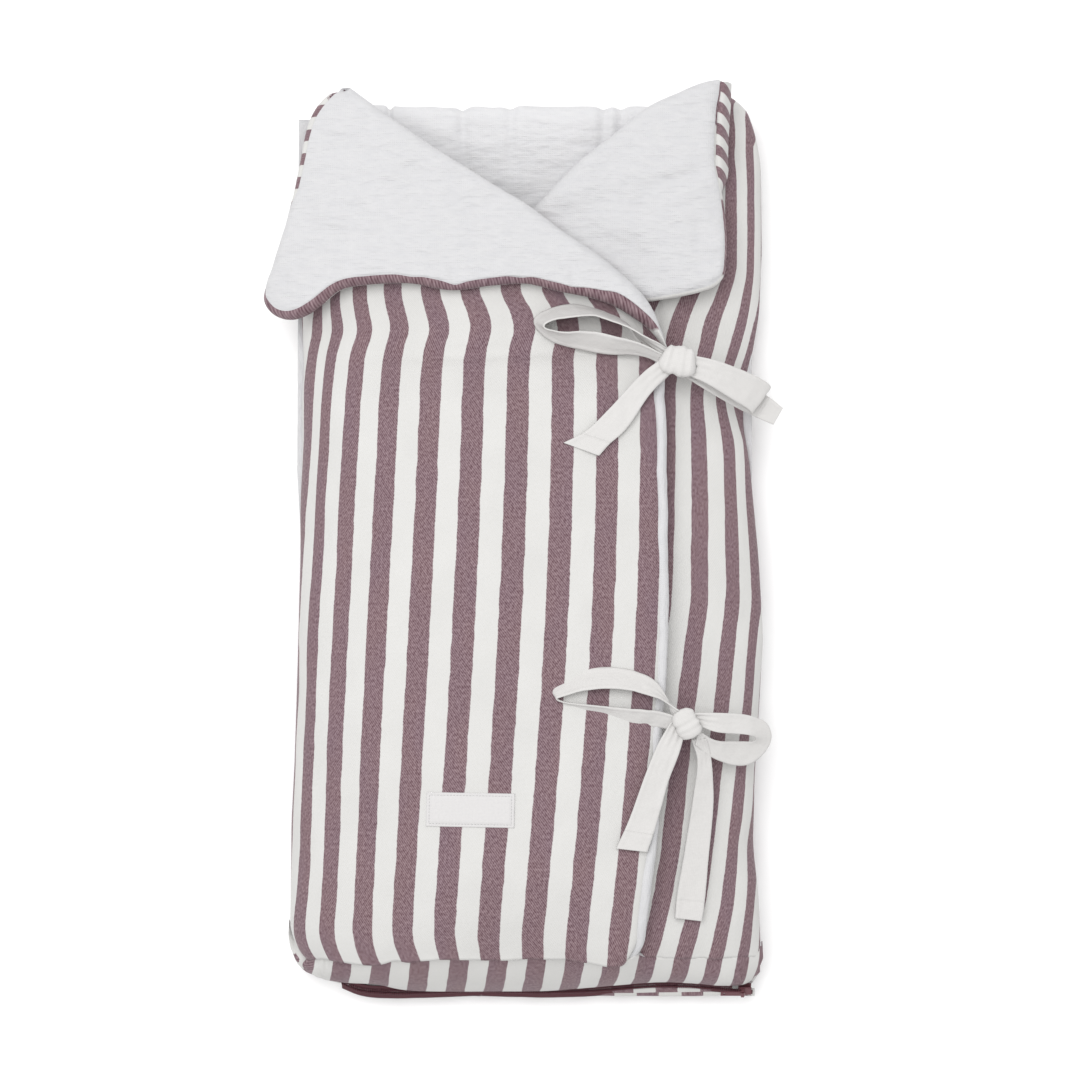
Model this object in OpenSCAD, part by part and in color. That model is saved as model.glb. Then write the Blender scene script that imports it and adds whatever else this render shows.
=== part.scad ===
// Baby sleeping bag, lying on its back: a padded tub with a left flap that laps over a right panel,
// two lapels turned back at the head, a foot gusset that closes with a zip, and two ribbon bows.
// Millimetres. +X is the wearer-side right in plan, +Y runs to the head, +Z is up.
// The origin is at the middle of the underside.

/* [Body] */
// half of the width across the side walls
half_w = 204; // [160:1:240]
// distance from the middle to the foot hem
foot_y = 394; // [300:1:460]
// distance from the middle to the head edge
head_y = 388; // [300:1:460]
// height of the stuffed body under the flap
body_h = 112; // [80:1:140]
// height of the flap where the lapels lie on it
neck_h = 96; // [70:1:120]
// height of the hinge lines in the side walls
hinge_z = 40; // [30:1:50]
// radius of the body corners in plan
corner_r = 34; // [10:1:60]

/* [Padding] */
// total thickness of a padded wall
pad = 24; // [16:1:32]
// thickness of the striped outer fabric
outer_t = 1.2; // [0.8:0.1:2]
// thickness of the muslin lining
lining_t = 1.1; // [0.8:0.1:2]
// free gap between pieces that move apart
gap = 0.4; // [0.3:0.1:1]
// gap between the layers of one wall
layer_gap = 0.1; // [0.05:0.05:0.3]
// squareness of the domed upper section
dome_power = 2.6; // [2:0.1:5]
// squareness of the lower section
keel_power = 4; // [2:0.1:6]

/* [Front] */
// position of the flap opening edge at the chest
edge_x = 120; // [60:1:160]
// how far that edge leans left at the foot
edge_lean = 20; // [0:1:40]
// width of the muslin roll along the opening edge
roll_w = 9; // [5:1:14]
// left limit of the right panel under the flap
underlap_x = 10; // [-40:1:60]
// thickness of a lapel
lapel_t = 20; // [10:1:28]
// lowest level of the left lapel over the side wall
lapel_low_z = 62; // [50:1:90]
// height of the foot seam
seam_z = 88; // [70:1:100]
// position of the foot seam
seam_y = -357; // [-380:1:-330]

/* [Foot and zip] */
// thickness of the foot gusset
gusset_t = 18; // [10:1:24]
// length of the slanted gusset face
gusset_l = 56; // [40:1:70]
// height of the zip line
zip_z = 31; // [26:0.5:36]
// position of the zip line
zip_y = -386.6; // [-392:0.1:-380]
// left end of the zip
zip_left = -160; // [-190:1:-100]
// right end of the lower tape
zip_right = 198; // [150:1:200]
// right end of the upper tape, short of the closed slider
zip_upper_right = 179; // [140:1:182]
// width of each visible tape
tape_w = 6; // [4:0.5:9]
// radius of each coil
coil_r = 1.2; // [0.8:0.1:1.6]
// middle of the slider when closed
slider_x = 190; // [150:0.5:192]

/* [Trims] */
// width of the tie ribbon
ribbon_w = 23; // [12:1:30]
// thickness of the ribbon
ribbon_t = 1.6; // [0.8:0.1:2.4]
// height of a bow loop standing on its edge
loop_h = 8; // [5:1:14]
// width of the blank label
label_w = 74; // [40:1:90]
// height of the blank label
label_h = 28; // [20:1:40]

/* [Hidden] */
// angle between the points of a section
turn_step = 9;
// length over which the flap rises from the foot seam, and its drop towards the lapels
foot_inset = 67;
slope_start = 120;
slope_end = 152;
// inner limit of the side walls, and the height where they stand on the back
wall_x = 150;
wall_z = 22;
// height of the head wall
head_wall_z = 46;
// right panel: height under the flap, thickness, and height under the lapels
panel_h = seam_z - gap;
panel_pad = 22;
panel_neck_h = neck_h - pad - gap;
// directions down the face of the foot gusset and into its thickness
seam_dir = [-0.502, -0.865];
seam_in = [0.865, -0.502];
// length of the slanted joint between the front and the side walls at the foot
mitre_run = (seam_z - hinge_z - gap) * seam_in[0] / -seam_in[1];
// ends of the two lapel folds, and the flap corner where the opening edge starts
fold_tip = [102, 209];
fold_head = [-148, 385];
flap_corner = [123, 154];
right_fold_low = [13, 291];
right_fold_high = [160, 394];
// upper tape, whose far edge lies under the gusset hem
upper_tape_w = tape_w - 1.5;
// slider: two plates, the height of the axle over the zip, and the axle
slider_l = 11;
slider_w = 9;
plate_t = 1.2;
plate_z = 1.6;
axle_x = -2;
axle_z = 5;
axle_r = 0.8;
// pull tab: eye round the axle, length, width and thickness
eye_r = 2;
eye_hole_r = 1.15;
pull_l = 19;
pull_w = 4.8;
pull_t = 1.2;
// middles of the two knots in plan, their height, and half of a knot's width
upper_knot = [133, 143];
lower_knot = [135, -155];
knot_z = 112;
knot_half = 12;

stripe_colour = [0.55, 0.43, 0.46];
muslin_colour = [0.91, 0.91, 0.92];
wadding_colour = [0.97, 0.97, 0.95];
zip_colour = [0.33, 0.16, 0.2];
metal_colour = [0.45, 0.3, 0.32];

// ---- outlines ----

function power_of(v, p) = sign(v) * pow(abs(v), 2 / p);

// upper half of the section, from right to left
function dome(right_a, left_a, b) = [
  for (t = [0:turn_step:180])
    [(t < 90 ? right_a : left_a) * power_of(cos(t), dome_power), hinge_z + b * power_of(sin(t), dome_power)]
];

// lower half of the section, from left to right, cut flat where it meets the floor
function keel(a, b, floor_z) = [
  for (t = [180 + turn_step:turn_step:360 - turn_step])
    [a * power_of(cos(t), keel_power), max(floor_z, hinge_z + b * power_of(sin(t), keel_power))]
];

// closed section of the tub at depth d below its skin
function tub_section(d) = concat(
  dome(half_w - d, half_w - d, body_h - hinge_z - d),
  keel(half_w - d, hinge_z + 1.5 - d, max(0, d))
);

// closed section of the right half, whose dome is lower because it lies under the flap
function right_section(d) = concat(
  dome(half_w - d, half_w - d, panel_h - hinge_z - d),
  keel(half_w - d, hinge_z + 1.5 - d, max(0, d))
);

// area under the flap surface at depth d, in section
function flap_section(d) = concat(
  dome(half_w + gap * d / pad, half_w - d, body_h - hinge_z - d),
  [[-half_w + d, -1], [half_w, -1]]
);

// area under the surface of the right panel at depth d, in section
function panel_section(d) = concat(
  dome(half_w - d, half_w - d, panel_h - hinge_z - d),
  [[-half_w + d, -1], [half_w - d, -1]]
);

// height of the flap along its length at depth d: low at the foot seam and under the lapels
function flap_crest(d) = concat(
  [
    for (t = [0:15:90])
      let (low = seam_z + 4 * (1 - d / pad))
        [seam_y + foot_inset * (1 - cos(t)), low + (body_h - d - low) * sin(t)]
  ],
  [
    [slope_start, body_h - d], [slope_end, neck_h - d], [head_y + 10, neck_h - d],
    [head_y + 10, -1], [seam_y, -1]
  ]
);

// height of the right panel along its length at depth d
function panel_crest(d) = [
  [seam_y - 1, panel_h - d], [slope_start, panel_h - d], [slope_end, panel_neck_h - d],
  [head_y + 10, panel_neck_h - d], [head_y + 10, -1], [seam_y - 1, -1]
];

function arc(c, r, from, to) = [for (t = [from:15:to]) [c[0] + r * cos(t), c[1] + r * sin(t)]];

// plan of the whole body
body_plan = concat(
  arc([half_w - corner_r, head_y - corner_r], corner_r, 0, 90),
  arc([corner_r - half_w, head_y - corner_r], corner_r, 90, 180),
  arc([corner_r - half_w, corner_r - foot_y], corner_r, 180, 270),
  arc([half_w - corner_r, corner_r - foot_y], corner_r, 270, 360)
);

// opening edge of the flap from the chest to the rounded foot corner, moved right by dx
function opening_edge(dx) = [
  [flap_corner[0] + dx, flap_corner[1]],
  [edge_x + dx, 95],
  [edge_x + 3 + dx, -50],
  [edge_x - 9 + dx, -255],
  [edge_x - edge_lean + dx, -325],
  [edge_x - edge_lean - 3 + dx, -348],
  [edge_x - edge_lean - 14 + dx, seam_y]
];

// plan of the padded flap, short of the roll
flap_plan = concat(
  [[-half_w - 40, seam_y], [-half_w - 40, 340], [-188, 372], fold_head, fold_tip],
  opening_edge(-2)
);

left_lapel_plan = [
  fold_head, [-172, 376], [-186, 354], [-198, 288], [-210, 247], [-221, 210], [-219, 198], [-209, 190],
  [-191, 189], [-154, 215], [-96, 216], [-3, 215], [63, 205], [90, 192], [117, 168], fold_tip
];

right_lapel_plan = [
  right_fold_high, [166, 390], [164, 322], [172, 283], [174, 244], [170, 220], [151, 212], [116, 206],
  [106, 211], [69, 240], [34, 265], right_fold_low
];

panel_plan = [
  [underlap_x, seam_y - 1], [half_w + 10, seam_y - 1], [half_w + 10, 350], [192, 376], [176, 386],
  right_fold_high, right_fold_low, [underlap_x, 285]
];

// side view of the space above the slanted joint at the foot seam
mitre_plan = [
  [seam_y, seam_z], [seam_y + mitre_run, hinge_z + gap],
  [head_y + 20, hinge_z + gap], [head_y + 20, 200], [seam_y, 200]
];

// a point of the gusset, s down its face and t into its thickness
function gusset_point(s, t) = [seam_y, seam_z] + s * seam_dir + t * seam_in;

// side view of the tub below the moving front
tub_plan = [
  [-foot_y, -1], [head_y, -1], [head_y, hinge_z - gap], [seam_y + mitre_run, hinge_z - gap],
  gusset_point(gap, gusset_t + gap), gusset_point(gusset_l + 1, gusset_t + gap), [-foot_y, pad - 0.5]
];

// ---- shared shapes ----

// stands a section upright and runs it along the length from y0 to y1
module along_y(y0, y1) {
  translate([0, y1, 0])
    rotate([90, 0, 0])
      linear_extrude(height = y1 - y0)
        children();
}

// stands a side view upright and runs it across the width from x0 to x1
module along_x(x0, x1) {
  translate([x0, 0, 0])
    rotate([90, 0, 90])
      linear_extrude(height = x1 - x0)
        children();
}

module in_plan(points) {
  translate([0, 0, -1])
    linear_extrude(height = 200)
      polygon(points);
}

module flap_under(d) {
  intersection() {
    along_y(seam_y - 2, head_y + 12)
      polygon(flap_section(d));
    along_x(-half_w - 40, half_w + 20)
      polygon(flap_crest(d));
  }
}

module panel_under(d) {
  intersection() {
    along_y(seam_y - 2, head_y + 12)
      polygon(panel_section(d));
    along_x(-half_w - 40, half_w + 20)
      polygon(panel_crest(d));
  }
}

// one layer of the flap between two depths
module flap_layer(d0, d1, plan) {
  intersection() {
    difference() {
      flap_under(d0);
      flap_under(d1);
    }
    in_plan(plan);
    along_x(-half_w - 40, half_w + 20)
      polygon(mitre_plan);
  }
}

// one layer of the right panel between two depths
module panel_layer(d0, d1) {
  intersection() {
    difference() {
      panel_under(d0);
      panel_under(d1);
    }
    in_plan(panel_plan);
    along_x(0, half_w + 20)
      polygon(mitre_plan);
  }
}

// one layer of the left lapel between two heights above the flap
module left_lapel_layer(h0, h1) {
  intersection() {
    difference() {
      flap_under(-h1);
      flap_under(-h0);
    }
    in_plan(left_lapel_plan);
    translate([-300, -500, lapel_low_z])
      cube([600, 1000, 200]);
  }
}

// one flat layer of the right lapel between two heights above the right panel
module right_lapel_layer(h0, h1, plan) {
  translate([0, 0, panel_neck_h + h0])
    linear_extrude(height = h1 - h0)
      polygon(plan);
}

// the corner zone of a side wall, side is -1 for left and 1 for right
module side_zone(side) {
  along_y(-foot_y - 5, head_y + 5)
    polygon([
      [side * wall_x, wall_z + layer_gap], [side * (half_w + 5), wall_z + layer_gap],
      [side * (half_w + 5), 120], [side * wall_x, 120]
    ]);
}

// one layer of the tub between two depths
module tub_layer(d0, d1, section0, section1) {
  intersection() {
    difference() {
      along_y(-foot_y, head_y)
        polygon(section0);
      along_y(-foot_y - 1, head_y + 1)
        polygon(section1);
    }
    in_plan(body_plan);
    along_x(-half_w - 1, half_w + 1)
      polygon(tub_plan);
  }
}

module side_layer(side, d0, d1) {
  intersection() {
    if (side < 0)
      tub_layer(d0, d1, tub_section(d0), tub_section(d1));
    else
      tub_layer(d0, d1, right_section(d0), right_section(d1));
    side_zone(side);
  }
}

// one layer of the low wall at the head, between two positions along the length
module head_wall_layer(y0, y1) {
  intersection() {
    along_y(y0, y1)
      polygon(tub_section(pad + gap));
    translate([-wall_x - 25, y0 - 1, 0])
      cube([2 * wall_x + 50, y1 - y0 + 2, head_wall_z]);
  }
}

// one layer of the foot gusset between two depths
module gusset_layer(t0, t1) {
  intersection() {
    along_x(-half_w, half_w)
      polygon([
        gusset_point(0.3, t0), gusset_point(0.3, t1), gusset_point(gusset_l, t1), gusset_point(gusset_l, t0)
      ]);
    along_y(-foot_y, -300)
      polygon(tub_section(0.2));
    in_plan(body_plan);
  }
}

// ---- tub ----

module back_outer() {
  color(stripe_colour)
    difference() {
      intersection() {
        along_y(-foot_y, head_y)
          polygon(tub_section(0));
        in_plan(body_plan);
        translate([-half_w - 1, -foot_y - 1, 0])
          cube([2 * half_w + 2, foot_y + head_y + 2, wall_z]);
      }
      along_y(-foot_y + outer_t, head_y - outer_t)
        polygon(tub_section(outer_t));
    }
}

module back_wadding() {
  color(wadding_colour)
    intersection() {
      along_y(-foot_y + outer_t + layer_gap, head_y - outer_t - layer_gap)
        polygon(tub_section(outer_t + layer_gap));
      in_plan(body_plan);
      translate([-half_w - 1, -foot_y - 1, 0])
        cube([2 * half_w + 2, foot_y + head_y + 2, wall_z]);
    }
}

module back_lining() {
  color(muslin_colour)
    translate([-wall_x + layer_gap, -foot_y + 6, wall_z + layer_gap])
      cube([2 * wall_x - 2 * layer_gap, foot_y + head_y - 12, pad - wall_z - layer_gap]);
}

module left_side_outer() {
  color(stripe_colour)
    side_layer(-1, 0, outer_t);
}

module left_side_wadding() {
  color(wadding_colour)
    side_layer(-1, outer_t + layer_gap, pad - lining_t - layer_gap);
}

module left_side_lining() {
  color(muslin_colour)
    side_layer(-1, pad - lining_t, pad);
}

module right_side_outer() {
  color(stripe_colour)
    side_layer(1, 0, outer_t);
}

module right_side_wadding() {
  color(wadding_colour)
    side_layer(1, outer_t + layer_gap, pad - lining_t - layer_gap);
}

module right_side_lining() {
  color(muslin_colour)
    side_layer(1, pad - lining_t, pad);
}

module head_wall_outer() {
  color(stripe_colour)
    head_wall_layer(head_y - 3, head_y - 3 + outer_t);
}

module head_wall_wadding() {
  color(wadding_colour)
    head_wall_layer(head_y - pad + lining_t, head_y - 3 - layer_gap);
}

module head_wall_lining() {
  color(muslin_colour)
    head_wall_layer(head_y - pad - layer_gap, head_y - pad + lining_t - layer_gap);
}

// ---- flap ----

module flap_outer() {
  color(stripe_colour)
    flap_layer(0, outer_t, flap_plan);
}

module flap_wadding() {
  color(wadding_colour)
    flap_layer(outer_t + layer_gap, pad - lining_t - layer_gap, flap_plan);
}

module flap_lining() {
  color(muslin_colour)
    flap_layer(pad - lining_t, pad, flap_plan);
}

module flap_edge_roll() {
  color(muslin_colour)
    flap_layer(-1, pad, concat(opening_edge(-2 + layer_gap), [for (i = [6:-1:0]) opening_edge(roll_w - 2)[i]]));
}

module label() {
  color(muslin_colour)
    intersection() {
      difference() {
        flap_under(-1);
        flap_under(-layer_gap);
      }
      translate([-45, -229, 60])
        rotate([0, 0, -1])
          translate([-label_w / 2, -label_h / 2, 0])
            cube([label_w, label_h, 100]);
    }
}

// ---- lapels ----

module left_lapel_face() {
  color(muslin_colour)
    left_lapel_layer(gap + lapel_t - lining_t, gap + lapel_t);
}

module left_lapel_wadding() {
  color(wadding_colour)
    left_lapel_layer(gap + outer_t + layer_gap, gap + lapel_t - lining_t - layer_gap);
}

module left_lapel_underside() {
  color(stripe_colour)
    left_lapel_layer(gap, gap + outer_t);
}

module right_lapel_face() {
  color(muslin_colour)
    right_lapel_layer(gap + lapel_t - lining_t, gap + lapel_t, right_lapel_plan);
}

module right_lapel_wadding() {
  color(wadding_colour)
    right_lapel_layer(gap + outer_t + layer_gap, gap + lapel_t - lining_t - layer_gap, right_lapel_plan);
}

module right_lapel_underside() {
  color(stripe_colour)
    right_lapel_layer(gap, gap + outer_t, right_lapel_plan);
}

module right_lapel_edging() {
  color(stripe_colour)
    right_lapel_layer(gap, 17, [[166.5, 388], [165, 322], [171, 296], [183, 300], [184, 386], [176, 391]]);
}

// ---- right panel ----

module right_panel_outer() {
  color(stripe_colour)
    panel_layer(0, outer_t);
}

module right_panel_wadding() {
  color(wadding_colour)
    panel_layer(outer_t + layer_gap, panel_pad - lining_t - layer_gap);
}

module right_panel_lining() {
  color(muslin_colour)
    panel_layer(panel_pad - lining_t, panel_pad);
}

// ---- foot gusset and zip ----

module foot_gusset_outer() {
  color(stripe_colour)
    gusset_layer(0, outer_t);
}

module foot_gusset_wadding() {
  color(wadding_colour)
    gusset_layer(outer_t + layer_gap, gusset_t - lining_t - layer_gap);
}

module foot_gusset_lining() {
  color(muslin_colour)
    gusset_layer(gusset_t - lining_t, gusset_t);
}

// places children on the zip line, their x along the zip, y across it and z out of it
module at_zip(x) {
  translate([x, zip_y, zip_z])
    rotate([45, 0, 0])
      children();
}

module zip_lower_tape() {
  color(zip_colour)
    at_zip(zip_left)
      translate([0, -coil_r - 2 - tape_w, -0.4])
        cube([zip_right - zip_left, tape_w, 0.8]);
}

module zip_upper_tape() {
  color(zip_colour)
    at_zip(zip_left)
      translate([0, coil_r + 2, -0.4])
        cube([zip_upper_right - zip_left, upper_tape_w, 0.8]);
}

module zip_lower_coil() {
  color(zip_colour)
    at_zip(zip_left)
      translate([0, -coil_r - 0.75, 0])
        rotate([0, 90, 0])
          cylinder(r = coil_r, h = zip_right - zip_left, $fn = 16);
}

module zip_upper_coil() {
  color(zip_colour)
    at_zip(zip_left)
      translate([0, coil_r + 0.75, 0])
        rotate([0, 90, 0])
          cylinder(r = coil_r, h = zip_upper_right - zip_left, $fn = 16);
}

module zip_slider() {
  color(metal_colour)
    at_zip(slider_x) {
      for (z = [plate_z, -plate_z - plate_t])
        translate([-slider_l / 2, -slider_w / 2, z])
          cube([slider_l, slider_w, plate_t]);
      // post between the plates, which parts the two coils
      translate([0, -0.4, -plate_z - plate_t / 2])
        cube([4.5, 0.8, 2 * plate_z + plate_t]);
      // cheeks that hold the axle
      for (side = [-1, 1])
        translate([axle_x - 1.2, side * 3.4 - 0.6, plate_z + plate_t / 2])
          cube([2.4, 1.2, axle_z + axle_r + 0.2 - plate_z - plate_t / 2]);
      translate([axle_x, -3.6, axle_z])
        rotate([-90, 0, 0])
          cylinder(r = axle_r, h = 7.2, $fn = 24);
    }
}

module zip_pull() {
  color(metal_colour)
    at_zip(slider_x)
      translate([axle_x, 0, axle_z])
        difference() {
          union() {
            translate([0, -pull_w / 2, 0])
              rotate([-90, 0, 0])
                cylinder(r = eye_r, h = pull_w, $fn = 32);
            translate([-pull_l, -pull_w / 2, -pull_t / 2])
              cube([pull_l - 1, pull_w, pull_t]);
          }
          translate([0, -pull_w, 0])
            rotate([-90, 0, 0])
              cylinder(r = eye_hole_r, h = 2 * pull_w, $fn = 32);
          translate([3 - pull_l, 0, -pull_t])
            cylinder(r = 1, h = 2 * pull_t, $fn = 24);
        }
}

// ---- ribbons ----

// a loop standing on its edge: its tip is at `tip`, its root at `root`, both in plan
module standing_loop(root, tip, width, z) {
  span = norm(tip - root);
  heading = atan2(tip[1] - root[1], tip[0] - root[0]);
  outline = [for (t = [0:15:345]) [span / 2 - span / 2 * cos(t), width / 2 * sin(t)]];
  translate([root[0], root[1], z])
    rotate([0, 0, heading])
      difference() {
        linear_extrude(height = loop_h)
          polygon(outline);
        translate([0, 0, -1])
          linear_extrude(height = loop_h + 2)
            polygon([for (p = outline) [4 + p[0] * (span - 9) / span, p[1] * (width - 5) / width]]);
      }
}

// a flattened loop that runs right and dips over the shoulder
module dipping_loop(root, tip, z) {
  span = norm(tip - root);
  heading = atan2(tip[1] - root[1], tip[0] - root[0]);
  translate([root[0], root[1], z])
    rotate([0, 0, heading])
      rotate([0, 22, 0])
        difference() {
          translate([0, -ribbon_w / 2, -4])
            cube([span / cos(22), ribbon_w, 8]);
          translate([6, -ribbon_w / 2 - 1, -4 + ribbon_t])
            cube([span / cos(22) - 6 - ribbon_t, ribbon_w + 2, 8 - 2 * ribbon_t]);
        }
}

// a flat tail from root to end, dropping by `fall` on the way
module tail(root, end, z, fall) {
  span = norm(end - root);
  heading = atan2(end[1] - root[1], end[0] - root[0]);
  translate([root[0], root[1], z])
    rotate([0, 0, heading])
      rotate([0, atan2(fall, span), 0])
        translate([0, -ribbon_w / 2, 0])
          cube([sqrt(span * span + fall * fall), ribbon_w, ribbon_t]);
}

// a block round a knot's middle, wider by `extra` on each side, from `down` below it
module knot_block(c, extra, down, height) {
  half = knot_half + extra;
  translate([c[0] - half, c[1] - half, knot_z - down])
    cube([2 * half, 2 * half, height]);
}

module knot(c) {
  intersection() {
    translate([c[0], c[1], knot_z])
      sphere(r = knot_half + 1, $fn = 32);
    knot_block(c, 0, 6, 13);
  }
}

module upper_flap_ribbon() {
  color(muslin_colour) {
    knot(upper_knot);
    standing_loop([122, 150], [10, 184], 34, knot_z - 6);
    tail([126, 140], [38, 80], knot_z + 1, 0);
  }
}

module upper_panel_ribbon() {
  color(muslin_colour)
    difference() {
      union() {
        dipping_loop([140, 138], [203, 130], knot_z);
        tail([136, 138], [216, 106], knot_z - 2, 34);
      }
      knot_block(upper_knot, 0.2, 7, 20);
    }
}

module lower_flap_ribbon() {
  color(muslin_colour) {
    knot(lower_knot);
    standing_loop([128, -148], [20, -132], 34, knot_z + 1);
    tail([126, -162], [92, -258], knot_z + 1, 0);
  }
}

module lower_panel_ribbon() {
  color(muslin_colour)
    difference() {
      union() {
        dipping_loop([142, -158], [204, -166], knot_z);
        tail([146, -164], [139, -318], knot_z - 2, 24);
      }
      knot_block(lower_knot, 0.2, 7, 20);
    }
}

back_outer();
back_wadding();
back_lining();
left_side_outer();
left_side_wadding();
left_side_lining();
right_side_outer();
right_side_wadding();
right_side_lining();
head_wall_outer();
head_wall_wadding();
head_wall_lining();
zip_lower_tape();
zip_lower_coil();
flap_outer();
flap_wadding();
flap_lining();
flap_edge_roll();
label();
upper_flap_ribbon();
upper_panel_ribbon();
lower_flap_ribbon();
lower_panel_ribbon();
left_lapel_face();
left_lapel_wadding();
left_lapel_underside();
right_panel_outer();
right_panel_wadding();
right_panel_lining();
right_lapel_face();
right_lapel_wadding();
right_lapel_underside();
right_lapel_edging();
foot_gusset_outer();
foot_gusset_wadding();
foot_gusset_lining();
zip_upper_tape();
zip_upper_coil();
zip_slider();
zip_pull();
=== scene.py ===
import math

import bpy
import numpy as np
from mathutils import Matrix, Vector


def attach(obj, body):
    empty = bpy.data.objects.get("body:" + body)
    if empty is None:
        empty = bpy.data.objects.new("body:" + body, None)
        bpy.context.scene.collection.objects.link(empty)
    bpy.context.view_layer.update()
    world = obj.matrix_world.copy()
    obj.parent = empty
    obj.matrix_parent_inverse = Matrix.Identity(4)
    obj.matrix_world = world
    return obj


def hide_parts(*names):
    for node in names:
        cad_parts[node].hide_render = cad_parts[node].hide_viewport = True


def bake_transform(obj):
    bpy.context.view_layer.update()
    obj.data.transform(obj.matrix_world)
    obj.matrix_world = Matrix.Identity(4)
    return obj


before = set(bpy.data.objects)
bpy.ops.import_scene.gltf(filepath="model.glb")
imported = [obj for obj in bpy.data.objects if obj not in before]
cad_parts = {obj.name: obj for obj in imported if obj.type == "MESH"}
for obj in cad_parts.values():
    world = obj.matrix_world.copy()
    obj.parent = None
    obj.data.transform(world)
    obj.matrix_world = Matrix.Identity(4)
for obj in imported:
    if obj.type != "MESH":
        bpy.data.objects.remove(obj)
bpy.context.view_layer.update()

MM = 0.001
WELD_GAP = 0.05 * MM
PERIOD = 38.5  # one dark and one pale stripe, in millimetres
TAU = 2 * math.pi

# ---------------------------------------------------------------- noise

RNG = np.random.RandomState(11)
LATTICE = RNG.uniform(-1, 1, (32, 32, 32))


def noise(x, y, z=0.0, scale=40.0, seed=0):
    """Smooth value noise from -1 to 1 with features about `scale` millimetres wide."""
    p = [np.asarray(a, float) / scale + 7.31 * (k + 1) + 3.7 * seed for k, a in enumerate((x, y, z))]
    p = np.broadcast_arrays(*p)
    cell = [np.floor(a).astype(int) for a in p]
    f = [a - c for a, c in zip(p, cell)]
    f = [a * a * (3 - 2 * a) for a in f]
    total = 0.0
    for i in (0, 1):
        for j in (0, 1):
            for k in (0, 1):
                weight = (f[0] if i else 1 - f[0]) * (f[1] if j else 1 - f[1]) * (f[2] if k else 1 - f[2])
                total = total + weight * LATTICE[(cell[0] + i) % 32, (cell[1] + j) % 32, (cell[2] + k) % 32]
    return total


def smooth(t):
    """Eases from 0 to 1."""
    t = np.clip(t, 0, 1)
    return t * t * (3 - 2 * t)


def ramp(x, a, b):
    """0 before a, 1 after b, and eased between them."""
    return smooth((np.asarray(x, float) - a) / (b - a))


def spline(points, n):
    """n points along a Catmull-Rom curve through the given points, evenly spaced."""
    p = np.array(points, float)
    p = np.vstack([2 * p[0] - p[1], p, 2 * p[-1] - p[-2]])
    dense = []
    for k in range(len(p) - 3):
        a, b, c, d = p[k : k + 4]
        for t in np.linspace(0, 1, 24, endpoint=False):
            dense.append(
                0.5 * (2 * b + (c - a) * t + (2 * a - 5 * b + 4 * c - d) * t * t + (3 * b - a - 3 * c + d)
                       * t ** 3)
            )
    dense.append(p[-2])
    return resample(np.array(dense), n)


def run_along(path):
    """The length from the start of a path to each of its points."""
    return np.concatenate([[0], np.cumsum(np.linalg.norm(np.diff(path, axis=0), axis=1))])


def resample(curve, n):
    """n evenly spaced points along a curve."""
    length = run_along(curve)
    at = np.linspace(0, length[-1], n)
    return np.stack([np.interp(at, length, curve[:, k]) for k in range(curve.shape[1])], 1)


# ---------------------------------------------------------------- mesh building


def build(name, verts, faces, uv, materials, face_material=None):
    """A smooth-shaded mesh from millimetre points, with its cloth coordinates in metres as a UV map.

    Where uv is a tuple, it holds one set of cloth coordinates for each material slot.
    """
    mesh = bpy.data.meshes.new(name)
    mesh.from_pydata((np.asarray(verts) * MM).tolist(), [], [list(map(int, f)) for f in faces])
    for m in materials:
        mesh.materials.append(m)
    if face_material is not None:
        mesh.polygons.foreach_set("material_index", np.asarray(face_material, int))
    layer = mesh.uv_layers.new(name="cloth")
    loops = np.empty(len(mesh.loops), int)
    mesh.loops.foreach_get("vertex_index", loops)
    if isinstance(uv, tuple):
        sizes = np.array([len(f) for f in faces])
        group = np.repeat(np.asarray(face_material, int), sizes)
        flat = np.stack([np.asarray(u, float)[loops] for u in uv])[group, np.arange(len(loops))]
    else:
        flat = np.asarray(uv, float)[loops]
    layer.data.foreach_set("uv", (flat * MM).ravel())
    mesh.polygons.foreach_set("use_smooth", [True] * len(mesh.polygons))
    mesh.validate()
    mesh.update()
    piece = bpy.data.objects.new(name, mesh)
    bpy.context.scene.collection.objects.link(piece)
    return piece


def grid_faces(rows, cols, start=0, flip=False):
    """The four-cornered faces of a grid of points, numbered row by row."""
    i, j = np.meshgrid(np.arange(rows - 1), np.arange(cols - 1), indexing="ij")
    a = start + i * cols + j
    q = np.stack([a, a + 1, a + cols + 1, a + cols], -1).reshape(-1, 4)
    return q[:, ::-1] if flip else q


def normals_of(grid):
    """Unit normals of a grid of points."""
    du = np.gradient(grid, axis=1)
    dv = np.gradient(grid, axis=0)
    n = np.cross(du, dv)
    return n / np.maximum(np.linalg.norm(n, axis=2, keepdims=True), 1e-9)


def shell(name, outer, inner, uv, materials, rim_material=0):
    """A closed padded shell between two grids with the same rows and columns."""
    rows, cols = outer.shape[:2]
    verts = np.concatenate([outer.reshape(-1, 3), inner.reshape(-1, 3)])
    top = grid_faces(rows, cols)
    bottom = grid_faces(rows, cols, rows * cols, flip=True)
    ring = [(0, j) for j in range(cols)] + [(i, cols - 1) for i in range(1, rows)]
    ring += [(rows - 1, j) for j in range(cols - 2, -1, -1)] + [(i, 0) for i in range(rows - 2, 0, -1)]
    ids = np.array([i * cols + j for i, j in ring])
    nxt = np.roll(ids, -1)
    rim = np.stack([nxt, ids, ids + rows * cols, nxt + rows * cols], 1)
    faces = np.concatenate([top, bottom, rim])
    index = [0] * len(top) + [1] * len(bottom) + [rim_material] * len(rim)
    return build(name, verts, faces, np.concatenate([uv.reshape(-1, 2)] * 2), materials, index)


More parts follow.
